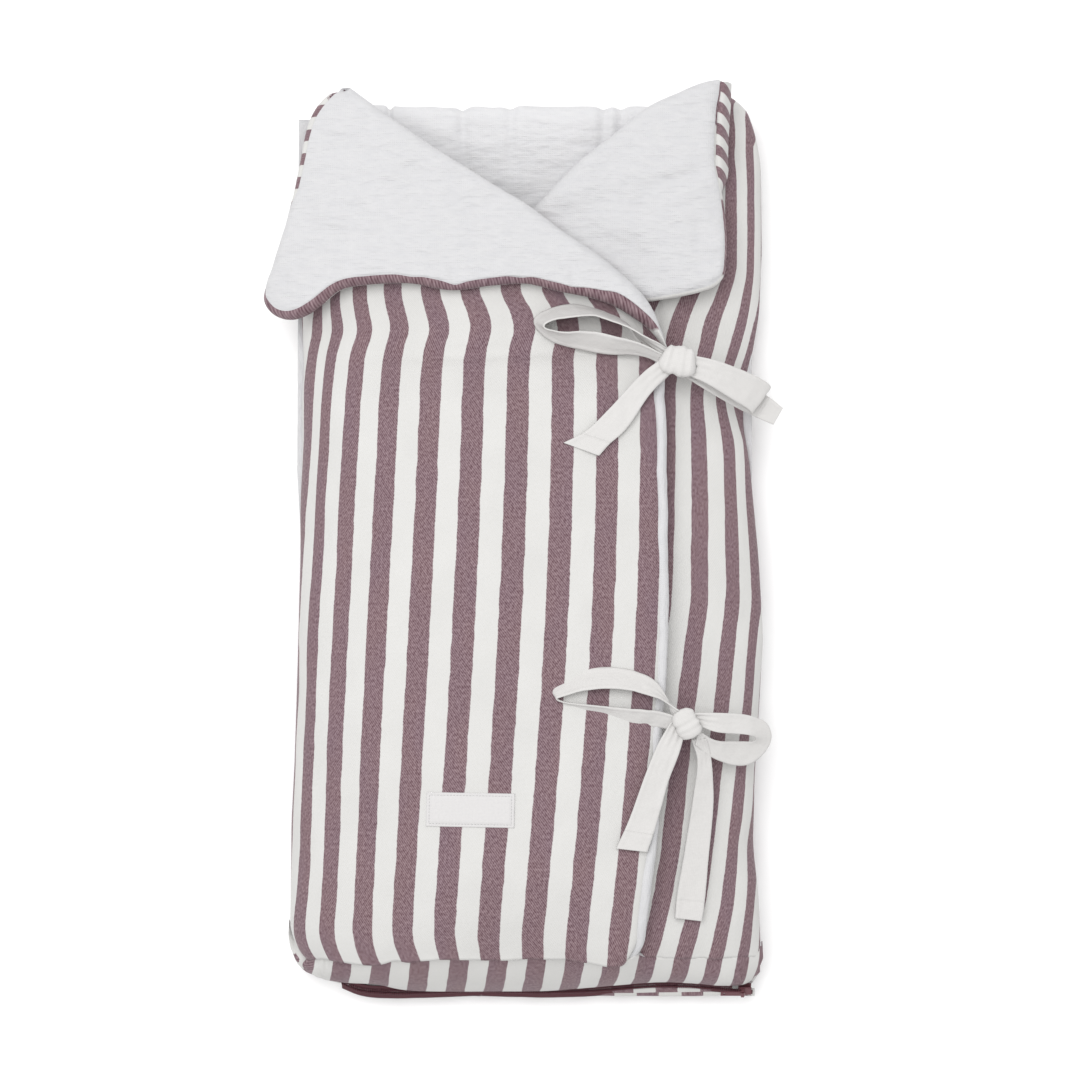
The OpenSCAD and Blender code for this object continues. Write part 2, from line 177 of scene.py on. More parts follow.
def tube(name, path, radius, material, sides=14, squash=1.0):
    """A closed tube along a path, its radius a number or one per point."""
    path = np.asarray(path, float)
    n = len(path)
    radius = np.broadcast_to(radius, n)
    tangent = np.gradient(path, axis=0)
    tangent /= np.linalg.norm(tangent, axis=1, keepdims=True)
    up = np.tile([0.0, 0.0, 1.0], (n, 1))
    side = np.cross(tangent, up)
    side /= np.maximum(np.linalg.norm(side, axis=1, keepdims=True), 1e-6)
    up = np.cross(side, tangent)
    length = run_along(path)
    verts, uv = [], []
    for k in range(sides):
        a = TAU * k / sides
        verts.append(path + radius[:, None] * (math.cos(a) * side + squash * math.sin(a) * up))
        uv.append(np.stack([np.full(n, a * radius.mean()), length], 1))
    verts = np.stack(verts, 1).reshape(-1, 3)
    uv = np.stack(uv, 1).reshape(-1, 2)
    faces = []
    for i in range(n - 1):
        for k in range(sides):
            k2 = (k + 1) % sides
            faces.append([i * sides + k, i * sides + k2, (i + 1) * sides + k2, (i + 1) * sides + k])
    faces.append([k for k in range(sides)][::-1])
    faces.append([(n - 1) * sides + k for k in range(sides)])
    return build(name, verts, faces, uv, [material])


# ---------------------------------------------------------------- materials


class Graph:
    """Small helper that wires a material's node tree."""

    def __init__(self, name):
        self.material = bpy.data.materials.new(name)
        self.material.use_nodes = True
        self.tree = self.material.node_tree
        self.shader = self.tree.nodes["Principled BSDF"]

    def node(self, kind, settings=None, **inputs):
        made = self.tree.nodes.new(kind)
        for key, value in (settings or {}).items():
            setattr(made, key, value)
        for key, value in inputs.items():
            self.feed(made.inputs[key.replace("_", " ")], value)
        return made

    def feed(self, socket, value):
        if isinstance(value, bpy.types.NodeSocket):
            self.tree.links.new(value, socket)
        else:
            socket.default_value = value

    def math(self, operation, a, b=0.0, clamp=False):
        made = self.tree.nodes.new("ShaderNodeMath")
        made.operation = operation
        made.use_clamp = clamp
        self.feed(made.inputs[0], a)
        self.feed(made.inputs[1], b)
        return made.outputs[0]

    def mix(self, factor, a, b):
        made = self.tree.nodes.new("ShaderNodeMix")
        made.data_type = "RGBA"
        self.feed(made.inputs["Factor"], factor)
        for name, value in (("A", a), ("B", b)):
            socket = next(s for s in made.inputs if s.name == name and s.type == "RGBA")
            self.feed(socket, value if isinstance(value, bpy.types.NodeSocket) else (*value, 1.0))
        return next(s for s in made.outputs if s.type == "RGBA")

    def cloth(self):
        """The cloth coordinates in millimetres, as (vector, u, v)."""
        uv = self.node("ShaderNodeUVMap", {"uv_map": "cloth"}).outputs["UV"]
        scaled = self.node("ShaderNodeVectorMath", {"operation": "SCALE"})
        self.feed(scaled.inputs[0], uv)
        scaled.inputs["Scale"].default_value = 1000.0
        parts = self.node("ShaderNodeSeparateXYZ", Vector=scaled.outputs[0])
        return scaled.outputs[0], parts.outputs["X"], parts.outputs["Y"]

    def multiply(self, a, b):
        made = self.node("ShaderNodeMix", {"data_type": "RGBA", "blend_type": "MULTIPLY"})
        made.inputs["Factor"].default_value = 1.0
        sockets = [s for s in made.inputs if s.type == "RGBA"]
        self.feed(sockets[0], a)
        self.feed(sockets[1], b)
        return next(s for s in made.outputs if s.type == "RGBA")

    def noise(self, vector, scale, stretch=(1, 1, 1), detail=2.0):
        mapping = self.node("ShaderNodeMapping", Vector=vector)
        mapping.inputs["Scale"].default_value = stretch
        made = self.node("ShaderNodeTexNoise", Vector=mapping.outputs[0], Scale=scale, Detail=detail)
        return made.outputs["Fac"]

    def wave(self, phase):
        """A sine from 0 to 1 of a phase counted in turns."""
        turned = self.math("SINE", self.math("MULTIPLY", phase, TAU))
        return self.math("ADD", self.math("MULTIPLY", turned, 0.5), 0.5)

    def bump(self, height, strength, distance):
        made = self.node("ShaderNodeBump", Height=height, Strength=strength, Distance=distance)
        return made.outputs["Normal"]

    def finish(self, colour, roughness=0.9, normal=None, sheen=0.0, specular=0.2):
        self.feed(self.shader.inputs["Base Color"], colour)
        self.feed(self.shader.inputs["Roughness"], roughness)
        self.shader.inputs["Specular IOR Level"].default_value = specular
        self.shader.inputs["Sheen Weight"].default_value = sheen
        if normal is not None:
            self.feed(self.shader.inputs["Normal"], normal)
        return self.material


LIGHT_LEVEL = 1.5  # what a pure white surface facing up would reach, so colours are given as they appear


def linear(r, g, b):
    """The albedo that shows as this sRGB colour of 0 to 255 under the studio light."""
    return tuple(((c / 255 + 0.055) / 1.055) ** 2.4 / LIGHT_LEVEL for c in (r, g, b))


def striped_twill(name="striped_twill"):
    """Mauve and off-white stripes across u, woven in diagonal twill."""
    g = Graph(name)
    vector, u, v = g.cloth()
    waver = g.math("MULTIPLY", g.math("SUBTRACT", g.noise(vector, 0.05), 0.5), 2.6)
    steps = g.math("MULTIPLY", g.math("SUBTRACT", g.noise(vector, 0.55), 0.5), 1.1)
    across = g.math("DIVIDE", g.math("ADD", g.math("ADD", u, waver), steps), PERIOD)
    away = g.math("ABSOLUTE", g.math("SUBTRACT", g.math("FRACT", g.math("ADD", across, 0.5)), 0.5))
    band = g.math("ADD", g.math("MULTIPLY", g.math("SUBTRACT", 0.247, away), 60.0), 0.5, clamp=True)
    twill = g.wave(g.math("DIVIDE", g.math("ADD", u, g.math("MULTIPLY", v, 0.8)), 2.1))
    fleck = g.noise(vector, 0.5, (1.0, 0.8, 1.0), 3.0)
    cloud = g.noise(vector, 0.02, (1, 1, 1), 3.0)
    thread = g.math("ADD", g.math("MULTIPLY", twill, 0.55),
                    g.math("MULTIPLY", g.math("SUBTRACT", fleck, 0.5), 1.8))
    thread = g.math("ADD", thread, 0.2, clamp=True)
    warm = g.mix(thread, linear(103, 72, 80), linear(172, 148, 152))
    cool = g.mix(thread, linear(101, 73, 84), linear(168, 145, 153))
    hue = g.math("MULTIPLY", g.math("SUBTRACT", g.noise(vector, 0.03, (1, 0.5, 1), 2.0), 0.35), 2.2,
                 clamp=True)
    dark = g.mix(hue, warm, cool)
    pale = g.mix(thread, linear(229, 228, 225), linear(234, 233, 231))
    colour = g.mix(band, pale, dark)
    tint = g.mix(cloud, (0.93, 0.93, 0.93), (1.05, 1.05, 1.05))
    colour = g.multiply(colour, tint)
    height = g.math("ADD", g.math("MULTIPLY", twill, 0.5), g.math("MULTIPLY", fleck, 0.5))
    creases = g.math("MULTIPLY", g.noise(vector, 0.06, (1.0, 0.6, 1.0), 3.0), 5.0)
    normal = g.bump(g.math("ADD", height, creases), 0.28, 0.0008)
    rough = g.math("ADD", g.math("MULTIPLY", fleck, 0.12), 0.8)
    return g.finish(colour, rough, normal, sheen=0.1)


def muslin(name, ripple_u, ripple_v, strength, painted_light_lift=0):
    """Crinkled double gauze; the ripple scales set which way the fine creases run."""
    g = Graph(name)
    vector, u, v = g.cloth()
    crinkle = g.noise(vector, 0.16, (ripple_u, ripple_v, 1), 3.0)
    soft = g.noise(vector, 0.05, (ripple_u, ripple_v, 1), 2.0)
    weave = g.math("MULTIPLY", g.wave(g.math("DIVIDE", u, 1.6)), g.wave(g.math("DIVIDE", v, 1.6)))
    # painted shade: the colour follows the crinkle height, darker in its hollows and lighter on its ridges,
    # mixed with the real light and dark of the weave threads
    shade = g.math("ADD", g.math("MULTIPLY", crinkle, 0.8), g.math("MULTIPLY", weave, 0.25))
    # painted_light_lift raises the whole colour: painted light for a lit copy of the muslin
    colour = g.mix(g.math("SUBTRACT", shade, 0.1, clamp=True),
                   linear(*(c + painted_light_lift for c in (222, 222, 225))), linear(*(c
                                                            + painted_light_lift for c in (238, 237, 237))))
    height = g.math("ADD", crinkle, g.math("MULTIPLY", soft, 1.6))
    height = g.math("ADD", height, g.math("MULTIPLY", weave, 0.1))
    normal = g.bump(height, strength, 0.004)
    rough = g.math("ADD", g.math("MULTIPLY", crinkle, 0.1), 0.85)
    return g.finish(colour, rough, normal, sheen=0.1)


def woven(name, dark, pale, pitch, strength=0.3, rough=0.85):
    """Plain woven tape: warp and weft threads with a little colour variation."""
    g = Graph(name)
    vector, u, v = g.cloth()
    weave = g.math("MULTIPLY", g.wave(g.math("DIVIDE", u, pitch)), g.wave(g.math("DIVIDE", v, pitch)))
    fleck = g.noise(vector, 0.4, (1, 1, 1), 3.0)
    mixed = g.math("ADD", g.math("MULTIPLY", weave, 0.4), g.math("MULTIPLY", fleck, 0.6))
    crease = g.noise(vector, 0.12, (0.5, 1, 1), 3.0)
    normal = g.bump(g.math("ADD", mixed, g.math("MULTIPLY", crease, 3.0)), strength, 0.0008)
    roughness = g.math("ADD", g.math("MULTIPLY", fleck, 0.1), rough - 0.05)
    return g.finish(g.mix(mixed, dark, pale), roughness, normal, sheen=0.1)


def enamel(name, dark, pale):
    """Painted zip metal or nylon, with a slight wear in its gloss."""
    g = Graph(name)
    spot = g.node("ShaderNodeTexCoord").outputs["Object"]
    wear = g.noise(spot, 900.0, (1, 1, 1), 3.0)
    normal = g.bump(wear, 0.12, 0.0002)
    g.shader.inputs["Metallic"].default_value = 0.35
    return g.finish(g.mix(wear, dark, pale), g.math("ADD", g.math("MULTIPLY", wear, 0.2), 0.3), normal,
                    specular=0.5)


STRIPED = striped_twill()
MUSLIN = muslin("muslin_across", 0.45, 1.4, 0.6)
MUSLIN_DOWN = muslin("muslin_down", 1.4, 0.45, 0.45)
# the lining is the same muslin with its colour raised 11 levels: painted light, brightening the shaded inside
# of the tub
LINING = muslin("muslin_lining", 0.5, 1.3, 0.45, 11)
RIBBON = woven("ribbon_cotton", linear(224, 222, 220), linear(241, 239, 237), 1.3)
LABEL = woven("label_cloth", linear(224, 222, 222), linear(240, 238, 237), 1.2, 0.15)
TAPE = woven("zip_tape", linear(72, 36, 44), linear(116, 68, 76), 1.4)
COIL = enamel("zip_coil", linear(84, 40, 50), linear(124, 70, 80))
METAL = enamel("zip_metal", linear(92, 46, 56), linear(140, 92, 98))
THREAD = woven("stitching", linear(206, 205, 206), linear(228, 227, 227), 0.7)

# ---------------------------------------------------------------- body shape

# points at the foot and the chest of the front, in metres; the side folds widen from nothing at the foot to
# full width at the chest
FOOT, CHEST = (0, -0.352, 0.06), (0, 0.06, 0.06)

HINGE_Z = 40.0
TOP = 114.0
NECK = 97.0
SEAM_Y = -357.0
PANEL_TOP = 88.0
PANEL_DROP = 13.0  # how far the panel has turned down where it meets the foot seam
POWER = 2.6


def knots(*pairs, blur=18):
    """A smooth function of one value through (value, result) pairs, evened out over `blur` millimetres."""
    pairs = sorted(pairs)
    xs, ys = np.array([p[0] for p in pairs], float), np.array([p[1] for p in pairs], float)
    fine = np.linspace(xs[0], xs[-1], 400)
    step = (xs[-1] - xs[0]) / 399
    wide = max(3, int(blur / step)) | 1
    raw = np.interp(fine, xs, ys)
    padded = np.pad(raw, wide // 2, mode="edge")
    even = np.convolve(padded, np.ones(wide) / wide, mode="valid")
    return lambda v: np.interp(v, fine, even)


left_edge = knots((-394, -196), (-357, -201), (-243, -201), (-190, -198.5), (-18, -194), (103, -192.5),
                  (145, -190.5),
                  (190, -194), (300, -190), (352, -186), (383, -176))
right_edge = knots((-394, 196), (-378, 204), (-300, 201), (-262, 197), (-210, 198), (-138, 203), (-86, 206),
                   (-7, 202),
                   (60, 196), (98, 190), (140, 192), (163, 198), (197, 204), (249, 206.5), (330, 206), (357,
                                                            201),
                   (380, 193), (394, 172))
flap_top = knots((-360, 92), (-345, 100), (-322, 108), (-290, TOP), (112, TOP), (140, 103), (160, NECK),
                 (400, NECK))
opening_x = knots((-366, 80), (-357, 88), (-350, 97), (-340, 101.5), (-327, 102), (-250, 112), (-52, 122.5),
                  (124, 119), (154, 121))
fold_x = knots((154, 121), (180, 112), (206, 97), (236, 65), (259, 31), (279, 5), (289, -12), (316, -55),
               (329, -77),
               (359, -118), (385, -150))
right_fold_x = knots((286, 10), (291, 16), (320, 45), (345, 76), (368, 106), (384, 134), (394, 158))

# how far the foot seam of the flap wanders from its straight line, and how its left corner is rounded off
seam_wave = knots((-205, -1), (-190, -4), (-174, 1), (-162, 0), (-133, -4.6), (-123, -4.6), (-109, 0),
                  (-97, -2),
                  (-79, 1), (-52, 2), (-31, 0.5), (-10, 1.4), (7, 2.2), (35, 2.4), (58, -2), (73.5,
                                                            -5), (88, -3),
                  (97, 4), (101, 0), (210, 0), blur=9)
TOE = 15.0


def toe(y):
    return TOE * np.clip((-np.asarray(y, float) - 326) / 31, 0, 1) ** 2


STRIPE_X = np.array([-232.0, -213, -194, -179, -155, -123, -87, -50, -11, 28, 67, 104, 141])
STRIPE_U = np.arange(len(STRIPE_X)) - 2.0


def flap_stripe(x, y):
    """Stripe count across the flap, whole numbers at the middles of the mauve stripes.

    The stripes lean a little, crowd where the dome turns down, and swing below the lapel.
    """
    d = y + 52.0
    share = np.clip((x + 180) / 290, 0, 1)
    lean = (0.054 - 0.011 * share) * d + (0.00004 - 0.00021 * share) * d * d
    swing = 5.0 * np.exp(-(((y - 178) / 15) ** 2)) - 13.0 * share * ramp(y, 190, 214)
    curl = toe(y) * (0.15 + 0.5 * ramp(-x, -20, 130)) * ramp(-x, -100, -40)
    return np.interp(x - lean - curl - swing * ramp(x, -195, -150), STRIPE_X, STRIPE_U)


# where the middles of stripes 10 to 15 run on the right panel, from the foot to the head
PANEL_STRIPES = {
    -370: (69, 100, 132, 160, 185, 203), -344: (77, 108, 138, 166, 190, 203),
    -310: (84, 116, 147, 173, 194, 204), -267: (90, 124, 154, 178, 196, 205),
    -138: (104, 138, 169, 193, 204, 211), -52: (118, 150, 180, 200, 209, 214),
    83: (123, 149, 177, 192, 199, 205), 127: (123, 148, 169, 186, 196, 202),
    153: (127, 154, 179, 193, 200, 206), 171: (129, 158, 185, 198, 205, 210),
    189: (134, 162, 190, 201, 207, 212), 204: (140, 169, 193, 204, 210, 214),
    232: (155, 179, 197, 205, 210, 214), 335: (158, 179, 197, 205, 210, 214),
}
PANEL_PATHS = [knots(*((y, row[k]) for y, row in PANEL_STRIPES.items())) for k in range(6)]


def panel_stripe(x, y):
    """Stripe count across the right panel, which is drawn in at the bows."""
    middles = np.array([float(path(y)) for path in PANEL_PATHS])
    middles = np.concatenate([middles[0] - 33.0 * np.arange(4, 0, -1), middles])
    return np.interp(x, middles, np.arange(6, 16))


def arch(a, top, n=60):
    """A quarter of the dome section, from the hinge level at distance a up to the crown."""
    t = np.linspace(0, math.pi / 2, n)
    return np.stack([a * np.cos(t) ** (2 / POWER), HINGE_Z + (top - HINGE_Z) * np.sin(t) ** (2 / POWER)], 1)


def dome_z(x, left, top, right=204.0):
    a = np.where(x < 0, -left, right)
    return HINGE_Z + (top - HINGE_Z) * np.clip(1 - np.abs(x / a) ** POWER, 0, 1) ** (1 / POWER)


def puff(p, seed=0, amount=1.0):
    """Soft unevenness of stuffed cloth, in millimetres."""
    x, y, z = p[..., 0], p[..., 1], p[..., 2]
    big = noise(x, y, z, 95, seed) * 2.2
    mid = noise(x, y * 0.7, z, 38, seed + 1) * 1.3
    small = noise(x, y * 0.6, z, 15, seed + 2) * 0.35
    return (big + mid + small) * amount


def side_stripe(u, x, z, arc, edge, start):
    """Continues the stripe count by cloth length where the wall turns too steep to read from above."""
    k = int(np.argmax(x > edge + start))
    below = np.arange(len(x)) < k
    out = u.copy()
    out[below] = u[k] - (arc[k] - arc[below]) / PERIOD
    return out


def lay_rows(rows_y, section, cols):
    """Grids of points and cloth coordinates from one section curve per row."""
    points, uv = [], []
    for y in rows_y:
        curve, count = section(y)
        length = run_along(curve)
        at = np.linspace(0, length[-1], cols)
        x = np.interp(at, length, curve[:, 0])
        z = np.interp(at, length, curve[:, 1])
        points.append(np.stack([x, np.full(cols, y), z], 1))
        uv.append(np.stack([np.interp(at, length, count) * PERIOD, np.full(cols, y)], 1))
    return np.array(points), np.array(uv)


def flap_section(y):
    top, left = float(flap_top(y)), float(left_edge(y) + toe(y))
    end = float(opening_x(y)) - 4.0 if y < 154 else float(fold_x(y))
    quarter = arch(-left, top)
    quarter[:, 0] *= -1
    right = np.linspace(2, 200, 60)
    curve = np.vstack([quarter, np.stack([right, dome_z(right, left, top)], 1)])
    keep = curve[:, 0] < end
    z_end = float(dome_z(np.array([end]), left, top)[0])
    curve = np.vstack([curve[keep], [end, z_end]])
    arc = run_along(curve)
    count = side_stripe(flap_stripe(curve[:, 0], y), curve[:, 0], curve[:, 1], arc, left, 9.0)
    return curve, count


def panel_section(y):
    top = PANEL_TOP - 16 * float(ramp(y, 118, 158)) - PANEL_DROP * max(0.0, min(1.0, (-y - 320) / 37)) ** 2
    right = float(right_edge(y))
    start = 10.0 if y < 288 else float(right_fold_x(y))
    quarter = arch(right, top)[::-1]
    keep = quarter[:, 0] > start
    z_start = HINGE_Z + (top - HINGE_Z) * max(0.0, 1 - (start / right) ** POWER) ** (1 / POWER)
    curve = np.vstack([[start, z_start], quarter[keep]])
    arc = run_along(curve)
    count = panel_stripe(curve[:, 0], y)
    k = int(np.argmax(curve[:, 0] > right - 5))
    count[k:] = count[k] + (arc[k:] - arc[k]) / PERIOD
    return curve, count


def edge_pull(rows, cols, grid, reach, sides):
    """1 in the middle of a grid, falling to 0 at the chosen sides over `reach` millimetres."""
    share = np.ones((rows, cols))
    row_gap = np.linalg.norm(np.diff(grid, axis=0), axis=2)
    col_gap = np.linalg.norm(np.diff(grid, axis=1), axis=2)
    down = np.concatenate([np.zeros((1, cols)), np.cumsum(row_gap, 0)])
    across = np.concatenate([np.zeros((rows, 1)), np.cumsum(col_gap, 1)], 1)
    for side in sides:
        d = {"low": down, "high": down[-1] - down, "first": across, "last": across[:, -1:] - across}[side]
        t = np.clip(d / reach, 0, 1)
        share = np.minimum(share, np.sqrt(1 - (1 - t) ** 2))
    return share


# ---------------------------------------------------------------- flap

flap_rows = np.concatenate([np.linspace(SEAM_Y, -330, 14), np.linspace(-326, 384, 214)])
outer, cloth_uv = lay_rows(flap_rows, flap_section, 128)
flap_normal = normals_of(outer)
x, y, z = outer[..., 0], outer[..., 1], outer[..., 2]
near_seam = np.exp(-np.maximum(0, y - SEAM_Y) / 16)
gather = noise(x, 0 * y, 0 * z, 9, 5) * 1.5 + noise(x, 0 * y, 0 * z, 21, 6) * 1.5
crease = -3.0 * np.exp(-(((y - 158 - 0.03 * x) / 7) ** 2)) * ramp(x, -150, -60) * ramp(-x, -100, -20)
lift = puff(outer, 3) + near_seam * gather * ramp(z, 60, 80) + crease
hold = ramp(z, HINGE_Z, HINGE_Z + 18)
outer = outer + flap_normal * (lift * hold)[..., None]
outer[..., 1] += seam_wave(x) * ramp(-y, 325, 357)
pull = edge_pull(*outer.shape[:2], outer, 14, ("last", "high"))
foot_pull = edge_pull(*outer.shape[:2], outer, 60, ("low",))
thick = (4 + 17 * pull) * (0.25 + 0.75 * foot_pull)
outer = outer - flap_normal * ((1 - pull) * 4.0)[..., None]
inner = outer - flap_normal * thick[..., None]
inner = inner + flap_normal * (noise(inner[..., 0], inner[..., 1], 0, 45, 9) * 1.0)[..., None]
flap = shell("front_flap_cloth", outer, inner, cloth_uv, [STRIPED, MUSLIN_DOWN])
FLAP_GRID = outer


def flap_height(px, py):
    """Height of the finished flap surface at points in plan."""
    px, py = np.asarray(px, float), np.asarray(py, float)
    flat = FLAP_GRID.reshape(-1, 3)
    out = np.empty(px.shape)
    for k in np.ndindex(px.shape):
        d = (flat[:, 0] - px[k]) ** 2 + (flat[:, 1] - py[k]) ** 2
        out[k] = flat[np.argmin(d), 2]
    return out


# the white roll along the opening edge
roll_y = np.linspace(SEAM_Y + 3, 152, 260)
roll_radius = 5.2 + 0.5 * noise(roll_y, 5, 0, 17, 8) - 1.6 * ramp(-roll_y, 330, 357)
roll_x = opening_x(roll_y) - roll_radius + 1.4 * noise(roll_y, 0, 0, 30, 4) + 0.5 * noise(roll_y, 0, 0, 9, 5)
roll_z = dome_z(roll_x, -204.0, flap_top(roll_y)) - 6.0 - 3 * ramp(-roll_y, 325, 357)
roll = tube("flap_edge_roll_cloth", np.stack([roll_x, roll_y, roll_z], 1), roll_radius, MUSLIN_DOWN, 16, 1.3)

# ---------------------------------------------------------------- right panel

panel_rows = np.concatenate([np.linspace(SEAM_Y, -330, 12), np.linspace(-326, 393, 210)])
outer_p, uv_p = lay_rows(panel_rows, panel_section, 84)
normal_p = normals_of(outer_p)
x, y, z = outer_p[..., 0], outer_p[..., 1], outer_p[..., 2]
lift = puff(outer_p, 13, 0.9) + np.exp(-np.maximum(0, y - SEAM_Y) / 14) * noise(x, 0, 0, 10, 15) * 1.6
shown = ramp(x, 118, 140)
for cx, cy, depth, size in ((178, 374, 5, 10), (176, 335, 5, 11), (192, 118, 4, 16), (196, -262, 3, 14)):
    lift = lift - depth * np.exp(-((x - cx) ** 2 + (y - cy) ** 2) / (2 * size * size))
lift = np.where(shown > 0, lift * (0.2 + 0.8 * shown), np.minimum(lift, 0) - 0.5)
outer_p = outer_p + normal_p * (lift * ramp(z, HINGE_Z, HINGE_Z + 14))[..., None]
pull = edge_pull(*outer_p.shape[:2], outer_p, 14, ("first", "high"))
thick = (4 + 15 * pull) * (0.3 + 0.7 * edge_pull(*outer_p.shape[:2], outer_p, 50, ("low",)))
outer_p = outer_p - normal_p * ((1 - pull) * 3.0)[..., None]
inner_p = outer_p - normal_p * thick[..., None]
panel = shell("right_panel_cloth", outer_p, inner_p, uv_p, [STRIPED, MUSLIN_DOWN])

# ---------------------------------------------------------------- lapels


def rim_distance(px, py, ring):
    """Distance in plan from each point to a closed polyline."""
    a = ring
    b = np.roll(ring, -1, axis=0)
    best = np.full(px.shape, 1e9)
    for (ax, ay), (bx, by) in zip(a, b):
        dx, dy = bx - ax, by - ay
        size = max(dx * dx + dy * dy, 1e-9)
        t = np.clip(((px - ax) * dx + (py - ay) * dy) / size, 0, 1)
        best = np.minimum(best, np.hypot(px - ax - t * dx, py - ay - t * dy))
    return best


def inset(edge, towards, width):
    """An edge curve moved into the piece by `width`, less where the piece is narrow."""
    tangent = np.gradient(edge, axis=0)
    tangent /= np.linalg.norm(tangent, axis=1, keepdims=True)
    side = np.stack([-tangent[:, 1], tangent[:, 0]], 1)
    gap = towards - edge
    side *= np.sign((side * gap).sum(1))[:, None]
    moved = edge + side * np.minimum(width, 0.35 * np.linalg.norm(gap, axis=1))[:, None]
    blur = np.hanning(13) / np.hanning(13).sum()
    even = np.stack([np.convolve(np.pad(moved[:, k], 6, mode="edge"), blur, mode="valid") for k in (0, 1)], 1)
    return even


def paired(fold, free, shares, n):
    """Matching points on a fold and a free edge; `shares` holds (free point number, share of the fold)."""
    share = np.interp(np.arange(len(free)), [k for k, _ in shares], [f for _, f in shares])
    partner = spline(fold, 400)[(share * 399).astype(int)]
    both = spline(np.hstack([partner, np.array(free, float)]), n)
    return both[:, :2], both[:, 2:]


def pillow(name, fold, free, shares, sizes, middle, half, round_r, rim_width, lift, face_uv, rim_uv,
           under_uv):
    """A padded closed form between a fold line and a free edge, with a striped rim along the free edge."""
    n_s, n_t, n_rim = sizes
    a, b = paired(fold, free, shares, n_s)
    seam = inset(b, a, rim_width(b))
    t = (1 - np.cos(np.linspace(0, math.pi * 0.85, n_t))) / (1 - math.cos(math.pi * 0.85))
    plan = a[:, None, :] * (1 - t[None, :, None]) + seam[:, None, :] * t[None, :, None]
    t_rim = np.sin(np.linspace(0, math.pi / 2, n_rim + 1))[1:]
    rim = seam[:, None, :] * (1 - t_rim[None, :, None]) + b[:, None, :] * t_rim[None, :, None]
    plan = np.concatenate([plan, rim], 1)
    px, py = plan[..., 0], plan[..., 1]
    d = rim_distance(px, py, np.vstack([a, b[::-1]]))
    swell = np.sqrt(np.clip(1 - (1 - np.clip(d / round_r, 0, 1)) ** 2, 0, 1))
    centre = np.stack([px, py, middle(px, py)], 2)
    n = normals_of(centre)
    n[n[..., 2] < 0] *= -1
    n[[0, -1]] = n[[1, -2]]
    stitched = np.exp(-((np.arange(n_t + n_rim) - n_t + 1) / 1.1) ** 2) * 1.1
    top = centre + n * ((half + lift(px, py, d)) * swell - stitched * swell)[..., None]
    low = centre - n * (half * swell)[..., None]
    verts = np.concatenate([top.reshape(-1, 3), low.reshape(-1, 3)])
    cells = grid_faces(n_s, n_t + n_rim)
    up = (np.cross(verts[cells[:, 1]] - verts[cells[:, 0]], verts[cells[:, 3]] - verts[cells[:, 0]])[:,
                                                            2]).sum() > 0
    top_faces = cells if up else cells[:, ::-1]
    low_faces = (cells[:, ::-1] if up else cells) + n_s * (n_t + n_rim)
    column = np.arange(len(cells)) % (n_t + n_rim - 1)
    index = np.concatenate([np.where(column >= n_t - 1, 1, 0), np.full(len(low_faces), 2)])
    uvs = tuple(np.concatenate([np.stack(f(px, py), -1).reshape(-1, 2)] * 2) for f in (face_uv, rim_uv,
                                                            under_uv))
    piece = build(name, verts, np.concatenate([top_faces, low_faces]), uvs, [MUSLIN, STRIPED, STRIPED], index)
    weld = piece.modifiers.new("weld", "WELD")
    weld.merge_threshold = WELD_GAP
    return piece


def lapel_middle(px, py):
    left = -228.0
    return dome_z(px, left, NECK + 10.5, 215.0)


def crinkle(seed, upright, dents):
    """Relief of a stuffed muslin face: soft lumps, fine ripples, puckers at the edge, and the named dents.

    `upright` is the height in plan below which the ripples turn to run along the length.
    """
    def lift(px, py, d):
        out = noise(px, py, 0, 62, seed) * 3.2 + noise(px, py, 0, 26, seed + 1) * 1.5
        across = noise(px * 0.3, py, 0, 6.5, seed + 2) * 0.7 + noise(px * 0.45, py, 0, 14, seed + 4) * 0.9
        along = noise(px, py * 0.2, 0, 5.5, seed + 5) * 0.55
        turn = ramp(py, upright, upright + 45)
        out = out + across * turn + along * (1 - turn)
        out = out + noise(px, py, 0, 12, seed + 3) * 1.5 * np.exp(-d / 9)
        for cx, cy, depth, wide, tall, heading in dents:
            c, s = math.cos(heading), math.sin(heading)
            a, b = (px - cx) * c + (py - cy) * s, -(px - cx) * s + (py - cy) * c
            out = out - depth * np.exp(-((a / wide) ** 2) - (b / tall) ** 2)
        return np.maximum(out, -5.0)
    return lift


def left_rim_width(edge):
    x = edge[:, 0]
    pucker = sum(np.exp(-(((x - c) / 5) ** 2)) for c in (-96, -58, -3, 40))
    plain = 5.0 * ramp(-x, 182, 192) * ramp(-edge[:, 1], -296, -282) * ramp(edge[:, 1], 205, 215)
    return 6.0 - plain - 2.5 * pucker + 10.0 * np.exp(-(((x - 88) / 20) ** 2)) + 1.0 * noise(x, edge[:, 1],
                                                            0, 25, 17)


def left_rim_uv(px, py):
    up_side = ramp(py, 214, 226) * ramp(-px, 150, 180)
    return py * 1.9 * (up_side > 0.5) + 0.25 * (py - 213) * (up_side <= 0.5), px


